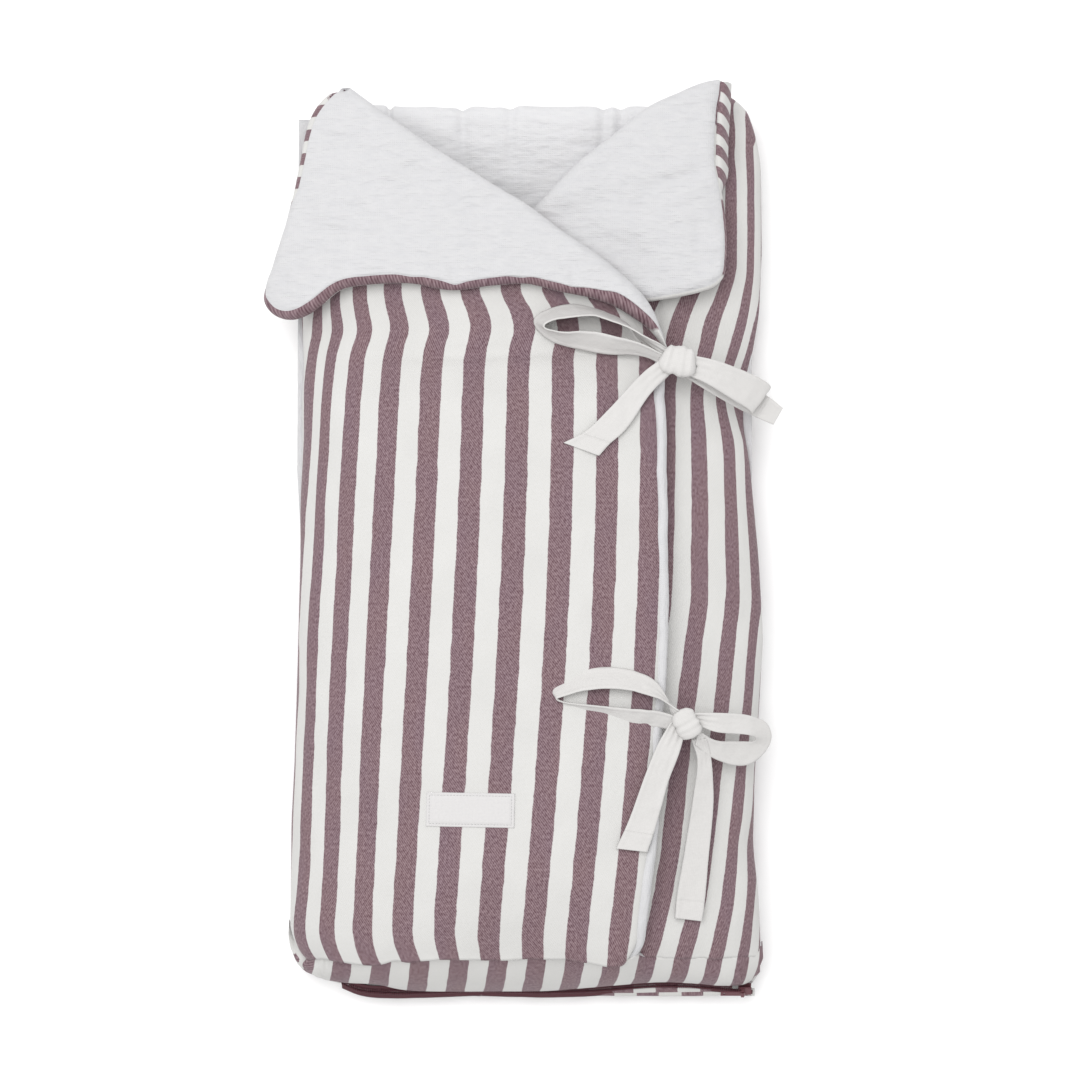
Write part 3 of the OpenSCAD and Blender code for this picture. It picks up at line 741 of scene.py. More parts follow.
LEFT_FOLD = [(-148, 384), (-118, 361), (-77, 332), (-55, 318), (-12, 291), (5, 281), (31, 261), (65, 238),
             (99, 208),
             (112, 186), (122, 158)]
LEFT_FREE = [(-152, 382), (-169, 378), (-184, 357), (-191, 325), (-198, 290), (-210, 249), (-221, 216),
             (-221, 203),
             (-213, 192), (-200, 187.5), (-185, 191), (-170, 201), (-154, 212), (-125, 215.5), (-96, 215.5),
             (-76, 211.5), (-58, 209.5), (-30, 213), (-3, 215), (12, 213), (31, 208), (52, 204), (63, 201),
             (78, 195), (90, 188), (104, 178), (114, 167), (120, 156)]
left_lapel = pillow(
    "left_lapel_cloth", LEFT_FOLD, LEFT_FREE,
    ((0, 0), (3, 0.03), (6, 0.10), (9, 0.17), (12, 0.25), (14, 0.34), (16, 0.44), (18, 0.56), (21, 0.70),
     (24, 0.83),
     (27, 1)), (280, 96, 8), lapel_middle, 8.6, 9.5, left_rim_width,
    crinkle(21, 222, ((-96, 216, 2.4, 4, 16, 0), (-58, 211, 2.8, 4, 18, 0.15), (-3, 214, 2.4, 4, 16, -0.1),
                      (-160, 300, 2.2, 45, 9, 0.75), (-165, 255, 2.4, 55, 8, 0.6), (-60, 262, 1.6, 80, 10,
                                                            -0.5),
                      (-70, 292, 1.6, 60, 7, -0.6), (40, 228, 2.0, 45, 8, -0.7))),
    lambda px, py: (px, py), left_rim_uv, lambda px, py: (py, px))

RIGHT_FOLD = [(166, 394), (150, 390), (134, 383), (106, 370), (78, 348), (45, 322), (14, 290), (-4, 270)]
RIGHT_FREE = [(169, 393), (168, 380), (165, 361), (164, 322), (168, 300), (171, 283), (173, 262), (173, 244),
              (171, 226), (163, 216), (151, 211), (134, 207), (116, 204), (104, 203), (92, 207), (66,
                                                            222), (38, 240),
              (8, 262)]


def right_middle(px, py):
    hem = 3 * ramp(px, 150, 175)
    hidden = np.clip((px * 0.69 + (py - 290) * 0.72) / 22, -1, 1)
    return 84.0 + 4.0 * ramp(px, 60, 140) * ramp(py, 220, 330) - hem + 2.0 * hidden


right_lapel = pillow(
    "right_lapel_cloth", RIGHT_FOLD, RIGHT_FREE, ((0, 0), (17, 1)), (200, 84, 5), right_middle, 8.4, 10.0,
    lambda edge: 2.6 + 0 * edge[:, 0],
    crinkle(31, 215, ((120, 300, 2.4, 50, 6, 0.5), (80, 290, 2.4, 50, 8, 0.3), (150, 250, 2.0, 7, 34, 0.1),
                      (95, 245, 3.0, 12, 40, 0.7), (60, 262, 4.0, 40, 10, -0.7))),
    lambda px, py: (px, py), lambda px, py: (0.3 * py, px), lambda px, py: (py, px))

# the striped band along the right lapel's outer edge, gathered so that its stripes hook downwards
band_y = np.linspace(292, 391, 90)
band_left = 162.5 + 3.0 * ramp(band_y, 330, 392)
band_wide = 13 * np.sin(np.clip((band_y - 286) / 30, 0, 1) * math.pi / 2)
across = np.linspace(0, 1, 16)
band_x = band_left[:, None] + band_wide[:, None] * across[None, :]
band_hem = np.broadcast_to(band_y[:, None], band_x.shape) + 2.0 * across[None, :] ** 2
band_z = 90.5 + 3.2 * np.sin(across * math.pi * 0.9)[None, :] - 17 * across[None, :] ** 2.4
band_z = band_z + 1.3 * np.sin(band_hem / 18.5 * TAU) * across[None, :] + 1.0 * noise(band_hem, band_x, 0,
                                                            9, 41)
band_top = np.stack([band_x, band_hem, band_z], 2)
band_low = band_top - np.array([0, 0, 6.0])
band_uv = np.stack([(band_hem + 9 * across[None, :] ** 1.6) * PERIOD / 18.5, band_x], 2)
edging = shell("right_lapel_edging_cloth", band_top, band_low, band_uv, [STRIPED, STRIPED])

# ---------------------------------------------------------------- tub: back, side walls, head wall


def outline(n):
    """The plan of the body at hinge level, anticlockwise from the foot end's left corner."""
    ys = np.linspace(-372, 372, 120)
    right = np.stack([right_edge(ys), ys], 1)
    left = np.stack([left_edge(ys), ys], 1)[:2:-1]
    head = [(190, 383), (176, 390), (150, 388), (120, 381), (60, 377), (0, 376), (-80, 376), (-140, 379),
            (-162, 381), (-176, 376)]
    foot = [(-198, -363), (-190, -372), (-173, -380), (-155, -384), (-138, -386.5), (-118, -389.5),
            (-60, -391.5),
            (40, -392.5), (120, -392.5), (180, -391), (197, -384)]
    loop = np.vstack([right, head, left, foot, right[:1]])
    return resample(loop, n + 1)[:-1]


loop = outline(420)
tangent = np.roll(loop, -1, 0) - np.roll(loop, 1, 0)
tangent /= np.linalg.norm(tangent, axis=1, keepdims=True)
inward = np.stack([-tangent[:, 1], tangent[:, 0]], 1)
at_foot = ramp(-loop[:, 1], 366, 384)
at_head = ramp(loop[:, 1], 366, 380) * ramp(-np.abs(loop[:, 0]), -178, -150)
wall_top = HINGE_Z + 1 - 14 * at_foot - 5 * at_head
TUB_FLOOR = 24.5  # the lowest the tub's inner floor may lie
# the wall's section from the underside, over the rim, to the floor of the tub: distance in from the outline,
# share of the wall's height, and extra height
PROFILE = [(46, 0, 0), (30, 0, 0.2), (20, 0.0, 1.2), (12, 0.06, 0), (6, 0.16, 0), (2.4, 0.32, 0),
           (0.6, 0.52, 0),
           (0, 0.72, 0), (0.5, 0.86, 0), (1.6, 0.97, 0), (4, 1.06, 0), (9, 1.09, 0), (15, 1.05, 0), (19,
                                                            0.92, 0),
           (22, 0.78, 0), (26, 0.66, 0), (34, 0.6, 0)]
verts, uv = [], []
for depth, share, extra in PROFILE:
    ring = loop + inward * depth
    height = wall_top * share + extra
    height = np.where(share >= 0.6, np.maximum(height, TUB_FLOOR if depth > 20 else 0), height)
    point = np.column_stack([ring, height])
    if 0.1 < share and depth < 16:
        wave = noise(ring[:, 0], ring[:, 1], height, 40, 51) * 1.0
        point[:, :2] -= inward * np.minimum(wave * (1 - 0.8 * share), 0.5)[:, None]
    verts.append(point)
verts = np.array(verts)
along = np.clip(loop[:, 1], -350, 380)
left_count = np.array([flap_section(y)[1][0] for y in along])
right_count = np.array([panel_section(y)[1][-1] for y in along])
side = np.abs(inward[:, 0]) > 0.6
left_side = side & (loop[:, 0] < 0)
right_side = side & (loop[:, 0] > 0)
for p in verts:
    run = (HINGE_Z - p[:, 2]) / PERIOD
    flat = 10.0 + (p[:, 0] - 200) / PERIOD
    count = np.where(left_side, left_count - run, np.where(right_side, right_count + run, flat))
    uv.append(np.stack([count * PERIOD, p[:, 1]], 1))
uv = np.array(uv)
LINED_FROM = 13  # the ring of the section where striped cloth gives way to muslin
rings, n_loop = len(PROFILE), len(loop)
faces, index = [], []
for k in range(rings - 1):
    for i in range(n_loop):
        j = (i + 1) % n_loop
        faces.append([k * n_loop + i, k * n_loop + j, (k + 1) * n_loop + j, (k + 1) * n_loop + i])
        index.append(0 if k < LINED_FROM else 1)
faces.append([i for i in range(n_loop)][::-1])
index.append(0)
faces.append([(rings - 1) * n_loop + i for i in range(n_loop)])
index.append(1)
tub = build("back_and_side_walls_cloth", verts.reshape(-1, 3), faces, uv.reshape(-1, 2),
            [STRIPED, MUSLIN_DOWN], index)

# a fold of cloth along each side fills most of the gap between the wall's rim and the open front;
# its square head end stays loose, and on the left it stands out past the lapel at rest
FOLD_IN, FOLD_WIDE = 172.0, 25.0


def side_fold(name, sign, count):
    """The fold at rest, inside the padding but at the head; its outer part widens from the foot up to the
    chest.
    """
    run = np.linspace(-330, 368, 180)
    turn = np.clip((run / 1000 - FOOT[1]) / (CHEST[1] - FOOT[1]), 0, 1)
    across = np.linspace(0, 1, 20)
    wall = np.linspace(1, 0, 8)[:-1]
    out = np.hstack([FOLD_IN - 9 * wall + 0 * turn[:, None], FOLD_IN + FOLD_WIDE * turn[:, None]
                     * across[None, :]])
    x = sign * out
    z = np.concatenate([39.5 - 14 * wall, 39.5 + 5.5 * np.sqrt(across)])[None, :] + 0 * x
    top = np.stack([x, run[:, None] + 0 * x, z], 2)
    low = top - np.array([0, 0, 1.6])
    stripes = np.array([count(v) for v in run])[:, None] + sign * (FOLD_IN + FOLD_WIDE - out) / PERIOD
    uv = np.stack([stripes * PERIOD, run[:, None] + 0 * x], 2)
    order = 1 if sign > 0 else -1
    top, low, uv = top[:, ::order], low[:, ::order], uv[:, ::order]
    return shell(name, top, low, uv, [MUSLIN_DOWN, STRIPED], 1)


left_fold = side_fold("left_side_fold_cloth", -1, lambda v: flap_section(v)[1][0])
right_fold = side_fold("right_side_fold_cloth", 1, lambda v: panel_section(v)[1][-1])

# lining over the back, which climbs to the gathered head edge and turns over it
climb = spline([(-330, 27.5), (-100, 27.5), (150, 28), (220, 32), (270, 38), (315, 44), (345, 49), (362, 51),
                (370, 50.5), (376, 47.5), (379.5, 42), (380.5, 35)], 200)
edge_run = run_along(climb)
span = np.linspace(-1, 1, 180)
half_span = np.interp(climb[:, 0], [-330, 300, 384], [158, 166, 168])
lx, ly = half_span[:, None] * span[None, :], np.broadcast_to(climb[:, :1], (200, 180))
lz = np.broadcast_to(climb[:, 1:], (200, 180)).copy()
near = ramp(ly, 180, 372)
fan = lx * (1 + 0.25 * (1 - near))
pleat = noise(fan, ly * 0.12, 0, 27, 71) * 2.0 + noise(fan, ly * 0.1, 0, 11, 72) * 0.5
for cx, deep, wide in ((-118, 4.0, 2.6), (-54, 3.0, 4.5), (-12, 3.0, 5), (69, 2.6, 5), (84, 3.0, 5)):
    pleat = pleat - deep * np.exp(-(((fan - cx) / wide) ** 2)) * ramp(ly, 290, 365)
ripple = noise(lx * 0.35, ly, 0, 7, 63) * 0.7 * ramp(ly, 150, 220) + noise(lx, ly, 0, 45, 61) * 2.4
back_top = np.stack([lx, ly, lz], 2)
out = normals_of(back_top)
out[out[..., 2] < 0] *= np.where(ly[out[..., 2] < 0] < 372, -1, 1)[:, None]
back_top = back_top + out * (pleat * near + ripple)[..., None]
back_top[..., 2] -= 10 * ramp(np.abs(lx), 140, 168) * near
back_top[..., 1] -= 8 * ramp(np.abs(lx), 140, 168) * near
back_low = back_top - out * 3.0
back_low[..., 2] = np.maximum(back_low[..., 2], 24.6)
lining = shell("back_lining_cloth", back_top, back_low, back_top[..., :2], [LINING, MUSLIN_DOWN], 1)

# ---------------------------------------------------------------- foot gusset and zip

n_g, m_g = 260, 44
seam_x = np.concatenate([[-186.4, -186], np.linspace(-185, 202, 90), [203, 203.5]])
seam_left = dome_z(seam_x, -201.5 + TOE, flap_top(SEAM_Y) - 2.5)
seam_right = dome_z(seam_x, -204.0, PANEL_TOP - PANEL_DROP + 0.3, 204.0)
on_panel = ramp(seam_x, 92, 104)
seam_height = np.maximum(seam_left + (seam_right - seam_left) * on_panel, 43.0)
seam_line = np.stack([seam_x, SEAM_Y + (seam_wave(seam_x) + 2.5) * (1 - on_panel) + 0.3, seam_height], 1)
seam_line[:, 1] += 7.0 * ramp(seam_x, 180, 204)
corner_line = [(-201.5, -334, 41), (-200, -341, 41.5), (-196, -348.5, 42), (-190.5, -354.5, 42.5)]
top_line = spline(np.vstack([corner_line, seam_line]), n_g)
low_line = spline([(-201.5, -336, 39), (-201, -348, 38), (-198, -359, 36.5), (-191.5, -368, 35.5),
                   (-183, -373.5, 35),
                   (-172, -377.5, 37), (-155, -380.5, 38.5), (-128, -382, 38.5), (-105, -387, 34.5),
                   (-80, -388.5, 33.5), (-20, -388.5, 33.5),
                   (20, -388, 34), (65, -384.5, 34), (100, -381.5, 35), (120, -380.5, 35), (145, -381.5, 35),
                   (170, -383.5, 35), (190, -382, 35), (200, -373, 36), (203.5, -362, 38)], n_g)
t = np.linspace(0, 1, m_g)
gus = top_line[:, None, :] * (1 - t[None, :, None]) + low_line[:, None, :] * t[None, :, None]
bulge = np.sin(t * math.pi)[None, :]
gx, gz = gus[..., 0].copy(), gus[..., 2].copy()
corner = np.maximum(ramp(-gx, 140, 180), 0.4 * ramp(gx, 165, 195))
turned = gx - 0.8 * gus[..., 1] * corner
gather = noise(turned, gz * 0.15, 0, 7, 81) * (0.6 + 3.6 * corner) + noise(gx, 0, 0, 25, 82) * 1.3
gus[..., 1] -= (4.5 * bulge + gather * 0.8 * np.sqrt(bulge)) * (1 - 0.5 * ramp(np.abs(gx), 185, 203))
gus[..., 2] += 3.0 * bulge + gather * 0.5 * np.sqrt(bulge)
gus[..., 0] += np.sign(gx) * 1.5 * bulge * ramp(np.abs(gx), 180, 203)
g_low = gus + np.stack([0 * gx, 10 * np.sqrt(bulge) + 1.5 + 0 * gx, -6 * np.sqrt(bulge) - 0.8 + 0 * gx], 2)
GUSSET_X = [-222, -189, -157, -123.5, -90.7, -57, -24.5, 8.2, 40.4, 71.4, 101.5, 131.6, 159.5, 185.3, 203,
            215]
g_count = np.interp(gx + 6.0 * (t - 0.5)[None, :], GUSSET_X, np.arange(16) - 1.0)
g_uv = np.stack([g_count * PERIOD, -gz + 0 * gx], 2)
gusset = shell("foot_gusset_cloth", gus[::-1], g_low[::-1], g_uv[::-1], [STRIPED, MUSLIN_DOWN], 0)

ZIP_Y, ZIP_Z = -386.6, 31.0
zip_wave = knots((-176, 12), (-160, 8), (-150, 2.5), (-143, 0), (-133, -1.5), (-107, -2.4), (-81, -1.5),
                 (-40, 0), (17, -1.6),
                 (50, -0.8), (74, 0.8), (99, 3), (112, 3.8), (142, 3.6), (168, 1.6), (186, 0), (200, 0))
ACROSS = np.array([0, 0.7071, 0.7071])
OUT = np.array([0, -0.7071, 0.7071])


def strip(name, path, wide, thick, out, material, seed=0, wave=0.0):
    """A flat tape along a path, `wide` being its width vector at each point."""
    path, wide = np.asarray(path, float), np.asarray(wide, float)
    t = np.linspace(-0.5, 0.5, 7)
    top = path[:, None, :] + wide[:, None, :] * t[None, :, None]
    top = top + out * (wave * noise(path[:, 0], 0, 0, 14, seed))[:, None, None]
    low = top - out * thick
    run = run_along(path)
    size = np.linalg.norm(wide, axis=1)
    uv = np.stack([np.broadcast_to(run[:, None], top.shape[:2]), t[None, :] * size[:, None]], 2)
    return shell(name, top, low, uv, [material, material])


zx = np.linspace(-158, 197, 260)
centre_line = np.stack([zx, ZIP_Y + zip_wave(zx), ZIP_Z + 0 * zx], 1)
lower_path = centre_line - ACROSS * 5.4 + OUT * 0.3
lower_tape = strip("zip_lower_tape_cloth", lower_path, np.tile(ACROSS * 7.4, (len(zx), 1)), 0.7, OUT, TAPE,
                   91, 0.3)
up = zx < 180
upper_tape = strip("zip_upper_tape_cloth", (centre_line + ACROSS * 4.2 + OUT * 0.3)[up],
                   np.tile(ACROSS * 5.2, (int(up.sum()), 1)), 0.7, OUT, TAPE, 92, 0.3)


def coil(name, x0, x1, side):
    """One side of the zip: a flattened helix of nylon monofilament."""
    pitch, per_turn = 1.6, 9
    n = int((x1 - x0) / pitch * per_turn)
    a = np.arange(n) * TAU / per_turn
    x = x0 + np.arange(n) * pitch / per_turn
    path = np.stack([x, 0 * x, 0 * x], 1) + ACROSS * (side * 1.95 + 1.15 * np.cos(a))[:, None]
    path = path + OUT * (0.4 + 1.05 * np.sin(a))[:, None] + np.array([0, ZIP_Y, ZIP_Z])
    path[:, 1] += zip_wave(x)
    return tube(name, path, 0.42, COIL, 5)


lower_coil = coil("zip_lower_teeth", -158, 197, -1)
upper_coil = coil("zip_upper_teeth", -158, 179, 1)

# striped hem of the back panel, just below the zip
hem_x = np.linspace(-152, 199, 200)
hem_path = np.stack([hem_x, -390.0 + 6 * ramp(-hem_x, 130, 152) + 0.6 * noise(hem_x, 0, 0, 20, 95), 23.4
                     + 0.5 * noise(hem_x, 1, 0, 26, 96)], 1)
hem = tube("back_hem_cloth", hem_path, 3.4, STRIPED, 12)
hem_mesh = hem.data
for loop_uv, loop_v in zip(hem_mesh.uv_layers["cloth"].data, hem_mesh.loops):
    p = hem_mesh.vertices[loop_v.vertex_index].co
    loop_uv.uv = (p.x + 0.009, p.z)

# ---------------------------------------------------------------- label

LABEL_AT, LABEL_SIZE, LABEL_TURN = (-45.0, -229.0), (74.0, 28.5), math.radians(-1)
lu, lv = np.meshgrid(np.linspace(-0.5, 0.5, 60) * LABEL_SIZE[0], np.linspace(-0.5, 0.5, 26) * LABEL_SIZE[1])
lx = LABEL_AT[0] + math.cos(LABEL_TURN) * lu - math.sin(LABEL_TURN) * lv
ly = LABEL_AT[1] + math.sin(LABEL_TURN) * lu + math.cos(LABEL_TURN) * lv
lz = flap_height(lx, ly)
for _ in range(6):
    lz[1:-1, 1:-1] = (lz[:-2, 1:-1] + lz[2:, 1:-1] + lz[1:-1, :-2] + lz[1:-1, 2:] + 4 * lz[1:-1, 1:-1]) / 8
edge = np.minimum(LABEL_SIZE[0] / 2 - np.abs(lu), LABEL_SIZE[1] / 2 - np.abs(lv))
label_top = np.stack([lx, ly, lz + 0.9 + 0.5 * ramp(edge, 1.5, 5) - 0.5 * np.exp(-((edge - 2) / 0.8) ** 2)],
                     2)
label_low = np.stack([lx, ly, lz - 0.6], 2)
label = shell("blank_label_cloth", label_top, label_low, np.stack([lu, lv], 2), [LABEL, LABEL])


def stitches(name, path, length, gap, radius, material):
    """A row of short thread stitches along a path."""
    path = np.asarray(path, float)
    run = run_along(path)
    starts = np.arange(0, run[-1] - length, length + gap)
    verts, faces, uv = [], [], []
    for s in starts:
        at = np.array([[np.interp(v, run, path[:, k]) for k in range(3)] for v in (s, s + length / 2, s
                                                            + length)])
        way = at[2] - at[0]
        way /= np.linalg.norm(way)
        side = np.cross(way, [0, 0, 1])
        side /= max(np.linalg.norm(side), 1e-6)
        upward = np.cross(side, way)
        base = len(verts)
        for k, r in enumerate((0.35, 1.0, 0.35)):
            for q in range(6):
                a = TAU * q / 6
                verts.append(at[k] + radius * r * (math.cos(a) * side + 0.8 * math.sin(a) * upward))
                uv.append((a, s + k))
        for k in range(2):
            for q in range(6):
                q2 = (q + 1) % 6
                faces.append([base + k * 6 + q, base + k * 6 + q2, base + k * 6 + 6 + q2, base + k * 6 + 6
                              + q])
        faces.append([base + q for q in range(6)][::-1])
        faces.append([base + 12 + q for q in range(6)])
    return build(name, verts, faces, uv, [material])


def label_point(u, v):
    k = np.argmin((lu - u) ** 2 + (lv - v) ** 2)
    return label_top.reshape(-1, 3)[k] + [0, 0, 0.25]


w, h = LABEL_SIZE[0] / 2 - 2, LABEL_SIZE[1] / 2 - 2
corners = [(-w, -h), (w, -h), (w, h), (-w, h), (-w, -h)]
stitch_path = []
for (ax, ay), (bx, by) in zip(corners, corners[1:]):
    for t in np.linspace(0, 1, 30, endpoint=False):
        stitch_path.append(label_point(ax + (bx - ax) * t, ay + (by - ay) * t))
label_stitches = stitches("label_stitching", stitch_path, 1.8, 0.9, 0.22, THREAD)

# ---------------------------------------------------------------- ribbons

RIBBON_T = 0.9


def ribbon(name, edge_a, edge_b, n=150, m=17, crimp=0.9, seed=0, hem=False):
    """A thin closed ribbon between two edge curves of (x, y, z) points, and its area in mm squared."""
    a, b = spline(edge_a, n), spline(edge_b, n)
    t = np.linspace(0, 1, m)
    mid = a[:, None, :] * (1 - t[None, :, None]) + b[:, None, :] * t[None, :, None]
    nrm = normals_of(mid)
    centre = (a + b) / 2
    run = run_along(centre)
    relief = crimp * noise(mid[..., 0], mid[..., 1], mid[..., 2], 13, seed)
    relief = relief + 0.35 * crimp * noise(mid[..., 0], mid[..., 1], mid[..., 2], 6, seed + 1)
    relief = relief + 0.9 * np.exp(-run / 14)[:, None] * np.sin(t * 3.2 * TAU + seed)[None, :]
    mid = mid + nrm * relief[..., None]
    rim = np.minimum(t, 1 - t)[None, :]
    thick = RIBBON_T * (0.75 + 1.0 * np.exp(-(((rim - 0.09) / 0.06) ** 2)))
    if hem:
        left = run[-1] - run
        doubled = ramp(-left, -17.5, -16.5)[:, None] * 1.5
        thick = np.maximum(thick + doubled - 2.0 * np.exp(-(((left - 15.5) / 0.8) ** 2))[:, None], 0.3)
    top, low = mid + nrm * (thick / 2)[..., None], mid - nrm * (thick / 2)[..., None]
    wide = float(np.linalg.norm(a - b, axis=1).mean())
    uv = np.stack([np.broadcast_to(run[:, None], mid.shape[:2]), np.broadcast_to(t * wide, mid.shape[:2])], 2)
    piece = shell(name, top, low, uv, [RIBBON, RIBBON])
    cells = np.cross(np.diff(mid, axis=0)[:, :-1], np.diff(mid, axis=1)[:-1])
    return piece, float(np.linalg.norm(cells, axis=2).sum())


def edges(*stations):
    """The two edges of a ribbon from stations of (ax, ay, az, bx, by, bz) in millimetres."""
    return [s[:3] for s in stations], [s[3:] for s in stations]


RIBBONS = {
    "upper_left_loop": edges(
        (123, 158, 112, 120, 149, 106), (108, 166, 118, 99, 165, 104),
        (82, 178, 121, 84, 184, 101), (56, 186, 121, 55, 196, 100),
        (32, 184, 120, 30, 197, 100), (18, 179, 118, 10, 188, 100),
        (20, 175, 117, 11, 177, 100), (36, 173, 118, 27, 165, 101),
        (65, 171, 120, 65, 156, 103), (96, 163, 119, 99, 154, 105),
        (120, 153, 113, 120, 144, 108)),
    "upper_left_tail": edges(
        (120, 153, 113, 125, 139, 109), (99, 137, 117, 106, 120, 115),
        (72, 108, 118, 87, 92, 116), (52, 89, 117, 72, 78, 116),
        (33, 79, 116, 63, 68, 116)),
    "upper_right_loop": edges(
        (139, 154, 112, 138, 137, 110), (163, 149, 111, 156, 129, 107),
        (189, 140, 104, 177, 117, 99), (205, 133, 96, 190, 110, 92),
        (210, 128, 90, 194, 106, 87), (204, 129, 85, 189, 109, 83),
        (185, 137, 90, 175, 118, 86), (160, 146, 98, 154, 132, 95)),
    "upper_right_tail": edges(
        (141, 148, 101, 137, 136, 100), (163, 142, 97, 154, 126, 95),
        (189, 131, 87, 175, 115, 85), (208, 122, 81, 194, 106, 79),
        (221, 112, 79, 213, 98, 76)),
    "lower_left_loop": edges(
        (130, -145, 116, 127, -152, 110), (110, -135, 121, 110, -121, 112),
        (80, -128, 123, 77, -110, 112), (52, -129, 123, 46, -113, 111),
        (32, -134, 122, 23, -124, 110), (27, -137, 120, 22, -132, 108),
        (36, -140, 118, 29, -142, 106), (58, -142, 118, 55, -152, 106),
        (86, -144, 118, 84, -159, 107), (108, -146, 117, 108, -160, 108),
        (125, -150, 114, 123, -162, 109)),
    "lower_left_tail": edges(
        (123, -155, 114, 135, -164, 110), (112, -174, 117, 130, -181, 115),
        (100, -203, 117, 120, -208, 114), (89, -234, 116, 111, -240, 113),
        (77, -261, 116, 103, -264, 113)),
    "lower_right_loop": edges(
        (142, -148, 112, 144, -157, 108), (165, -148, 108, 161, -164, 108),
        (189, -150, 99, 184, -166, 102), (205, -157, 90, 194, -168, 96),
        (209, -172, 84, 195, -170, 92), (199, -187, 82, 192, -172, 90),
        (184, -193, 86, 178, -172, 94), (161, -187, 95, 161, -171, 102),
        (144, -175, 106, 146, -162, 106)),
    "lower_right_tail": edges(
        (141, -171, 106, 154, -169, 105), (146, -190, 98, 158, -188, 96),
        (142, -224, 90, 160, -224, 88), (135, -267, 88, 156, -269, 86),
        (129, -301, 88, 153, -304, 85), (127, -321, 87, 150, -324, 84)),
}
ribbon_pieces = {}
for number, (name, (ea, eb)) in enumerate(RIBBONS.items()):
    ribbon_pieces[name] = ribbon(name + "_ribbon", ea, eb, seed=100 + number, hem=name.endswith("tail"))


def knot(name, at, heading, half, radius, seed):
    """A tied knot: a pleated band wrapped round the roots of the loops."""
    n, m = 64, 40
    u = np.linspace(0, TAU, n, endpoint=False)[None, :]
    v = np.linspace(-1, 1, m)[:, None]
    body = np.clip(1 - np.abs(v) ** 5, 0, 1) ** 0.36
    boxy = (np.abs(np.cos(u)) ** 3 + np.abs(np.sin(u)) ** 3) ** (-1 / 3)
    pleats = np.sin(9 * v + 1.6 * np.sin(u + seed)) + 0.6 * np.sin(15 * v - 2.4 * np.sin(u))
    r = radius * body * boxy * (1 + 0.045 * pleats + 0.12 * noise(3 * np.cos(u), 3 * np.sin(u), 2.2 * v,
                                                            2.4, seed))
    along = half * v * (1 + 0.12 * np.sin(u + 0.7 * seed))
    side, up = 1.15 * r * np.cos(u), 0.82 * r * np.sin(u)
    c, s = math.cos(heading), math.sin(heading)
    verts = np.stack([at[0] + c * along - s * side, at[1] + s * along + c * side, at[2] + up], 2)
    faces = []
    for i in range(m - 1):
        for j in range(n):
            k = (j + 1) % n
            faces.append([(i + 1) * n + j, (i + 1) * n + k, i * n + k, i * n + j])
    uv = np.stack([u * radius + 0 * v, half * v + 0 * u], 2)
    piece = build(name, verts.reshape(-1, 3), faces, uv.reshape(-1, 2), [RIBBON])
    weld = piece.modifiers.new("weld", "WELD")
    weld.merge_threshold = WELD_GAP
    return piece


upper_knot = knot("upper_knot_cloth", (130.0, 148.8, 111), math.radians(-14), 15, 10.5, 7)
lower_knot = knot("lower_knot_cloth", (136.3, -157.0, 112), math.radians(-62), 12, 9, 9)

# ---------------------------------------------------------------- zip metal

for name in ("zip_slider", "zip_pull"):
    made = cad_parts[name]
    for material_slot in made.material_slots:
        material_slot.material = METAL
    bevel = made.modifiers.new("soft edges", "BEVEL")
    bevel.width = 0.0003
    bevel.segments = 2

# ---------------------------------------------------------------- bodies

def with_flap(*pieces):
    for p in pieces:
        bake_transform(p)


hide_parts("flap_outer", "flap_wadding", "flap_lining")
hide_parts("flap_edge_roll")
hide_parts("label")
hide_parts("right_panel_outer", "right_panel_wadding", "right_panel_lining")
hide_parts("left_lapel_face", "left_lapel_wadding", "left_lapel_underside")
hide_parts("right_lapel_face", "right_lapel_wadding", "right_lapel_underside")
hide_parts("right_lapel_edging")
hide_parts("back_outer", "back_wadding", "left_side_outer", "left_side_wadding", "left_side_lining",
            "right_side_outer", "right_side_wadding", "right_side_lining", "head_wall_outer")
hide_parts("back_lining", "head_wall_wadding", "head_wall_lining")
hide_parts("foot_gusset_outer", "foot_gusset_wadding", "foot_gusset_lining")
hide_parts("zip_lower_tape")
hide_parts("zip_upper_tape")
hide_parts("zip_lower_coil")
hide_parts("zip_upper_coil")
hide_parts("upper_flap_ribbon")
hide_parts("upper_panel_ribbon")
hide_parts("lower_flap_ribbon")
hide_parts("lower_panel_ribbon")

with_flap(flap, roll, label, label_stitches, lower_knot)
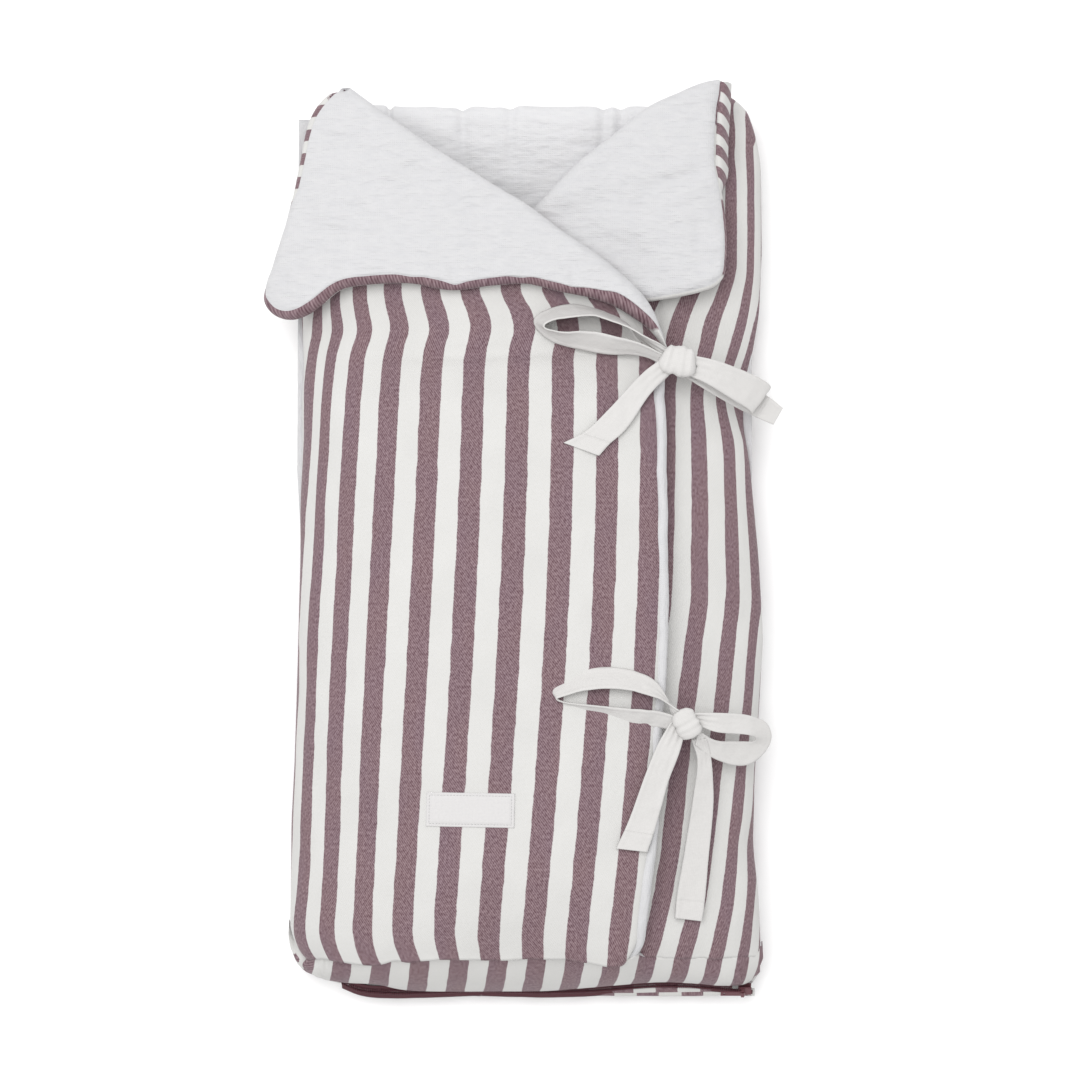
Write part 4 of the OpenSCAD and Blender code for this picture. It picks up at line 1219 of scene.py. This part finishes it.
# each ribbon comes with its modelled area, which is not used here; a ribbon's flat length is that area over
# 23 mm, and its path is mostly longer than that
for name, (piece, area) in ribbon_pieces.items():
    if name.startswith("lower"):
        with_flap(piece)
    else:
        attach(piece, "front_flap")
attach(upper_knot, "front_flap")
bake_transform(panel)
for piece, sign, body in ((left_fold, -1, "front_flap"), (right_fold, 1, "right_panel")):
    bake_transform(piece)
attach(left_lapel, "left_lapel")
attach(right_lapel, "right_lapel")
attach(edging, "right_lapel")
for p in (tub, lining, lower_tape, lower_coil, hem):
    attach(p, "base")
for p in (gusset, upper_tape, upper_coil):
    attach(p, "foot_gusset")

# ---------------------------------------------------------------- floor, light, camera

floor_mesh = bpy.data.meshes.new("floor")
floor_mesh.from_pydata([(-6, -6, 0), (6, -6, 0), (6, 6, 0), (-6, 6, 0)], [], [(0, 1, 2, 3)])
floor = bpy.data.objects.new("floor", floor_mesh)
bpy.context.scene.collection.objects.link(floor)
floor_graph = Graph("floor_paper")
paper = floor_graph.noise(floor_graph.node("ShaderNodeTexCoord").outputs["Object"], 30.0)
floor_mesh.materials.append(
    floor_graph.finish(floor_graph.mix(paper, (0.92, 0.92, 0.92), (0.93, 0.93, 0.93)), 0.95))

world = bpy.data.worlds.new("studio")
bpy.context.scene.world = world
world.use_nodes = True
world.node_tree.nodes["Background"].inputs["Color"].default_value = (1, 1, 1, 1)
world.node_tree.nodes["Background"].inputs["Strength"].default_value = 0.9


def area_light(name, at, aim, size, power):
    data = bpy.data.lights.new(name, "AREA")
    data.shape = "DISK"
    data.size = size
    data.energy = power
    made = bpy.data.objects.new(name, data)
    made.location = at
    made.rotation_euler = (Vector(aim) - Vector(at)).to_track_quat("-Z", "Y").to_euler()
    bpy.context.scene.collection.objects.link(made)


area_light("key", (-0.45, 0.5, 2.7), (0, 0, 0), 2.4, 58)

CAMERA_FAR = 2.4
WIDE = 0.929
camera_data = bpy.data.cameras.new("camera")
camera = bpy.data.objects.new("camera", camera_data)
bpy.context.scene.collection.objects.link(camera)
bpy.context.scene.camera = camera
elevation = math.radians(87)
aim = Vector((0.0133, 0.0, 0.06))
away = Vector((0, -math.cos(elevation), math.sin(elevation)))
camera.location = aim + away * CAMERA_FAR
camera.rotation_euler = (-away).to_track_quat("-Z", "Y").to_euler()
camera_data.sensor_width = 36
camera_data.lens = 36 * CAMERA_FAR / WIDE
bpy.context.scene.view_settings.view_transform = "Standard"
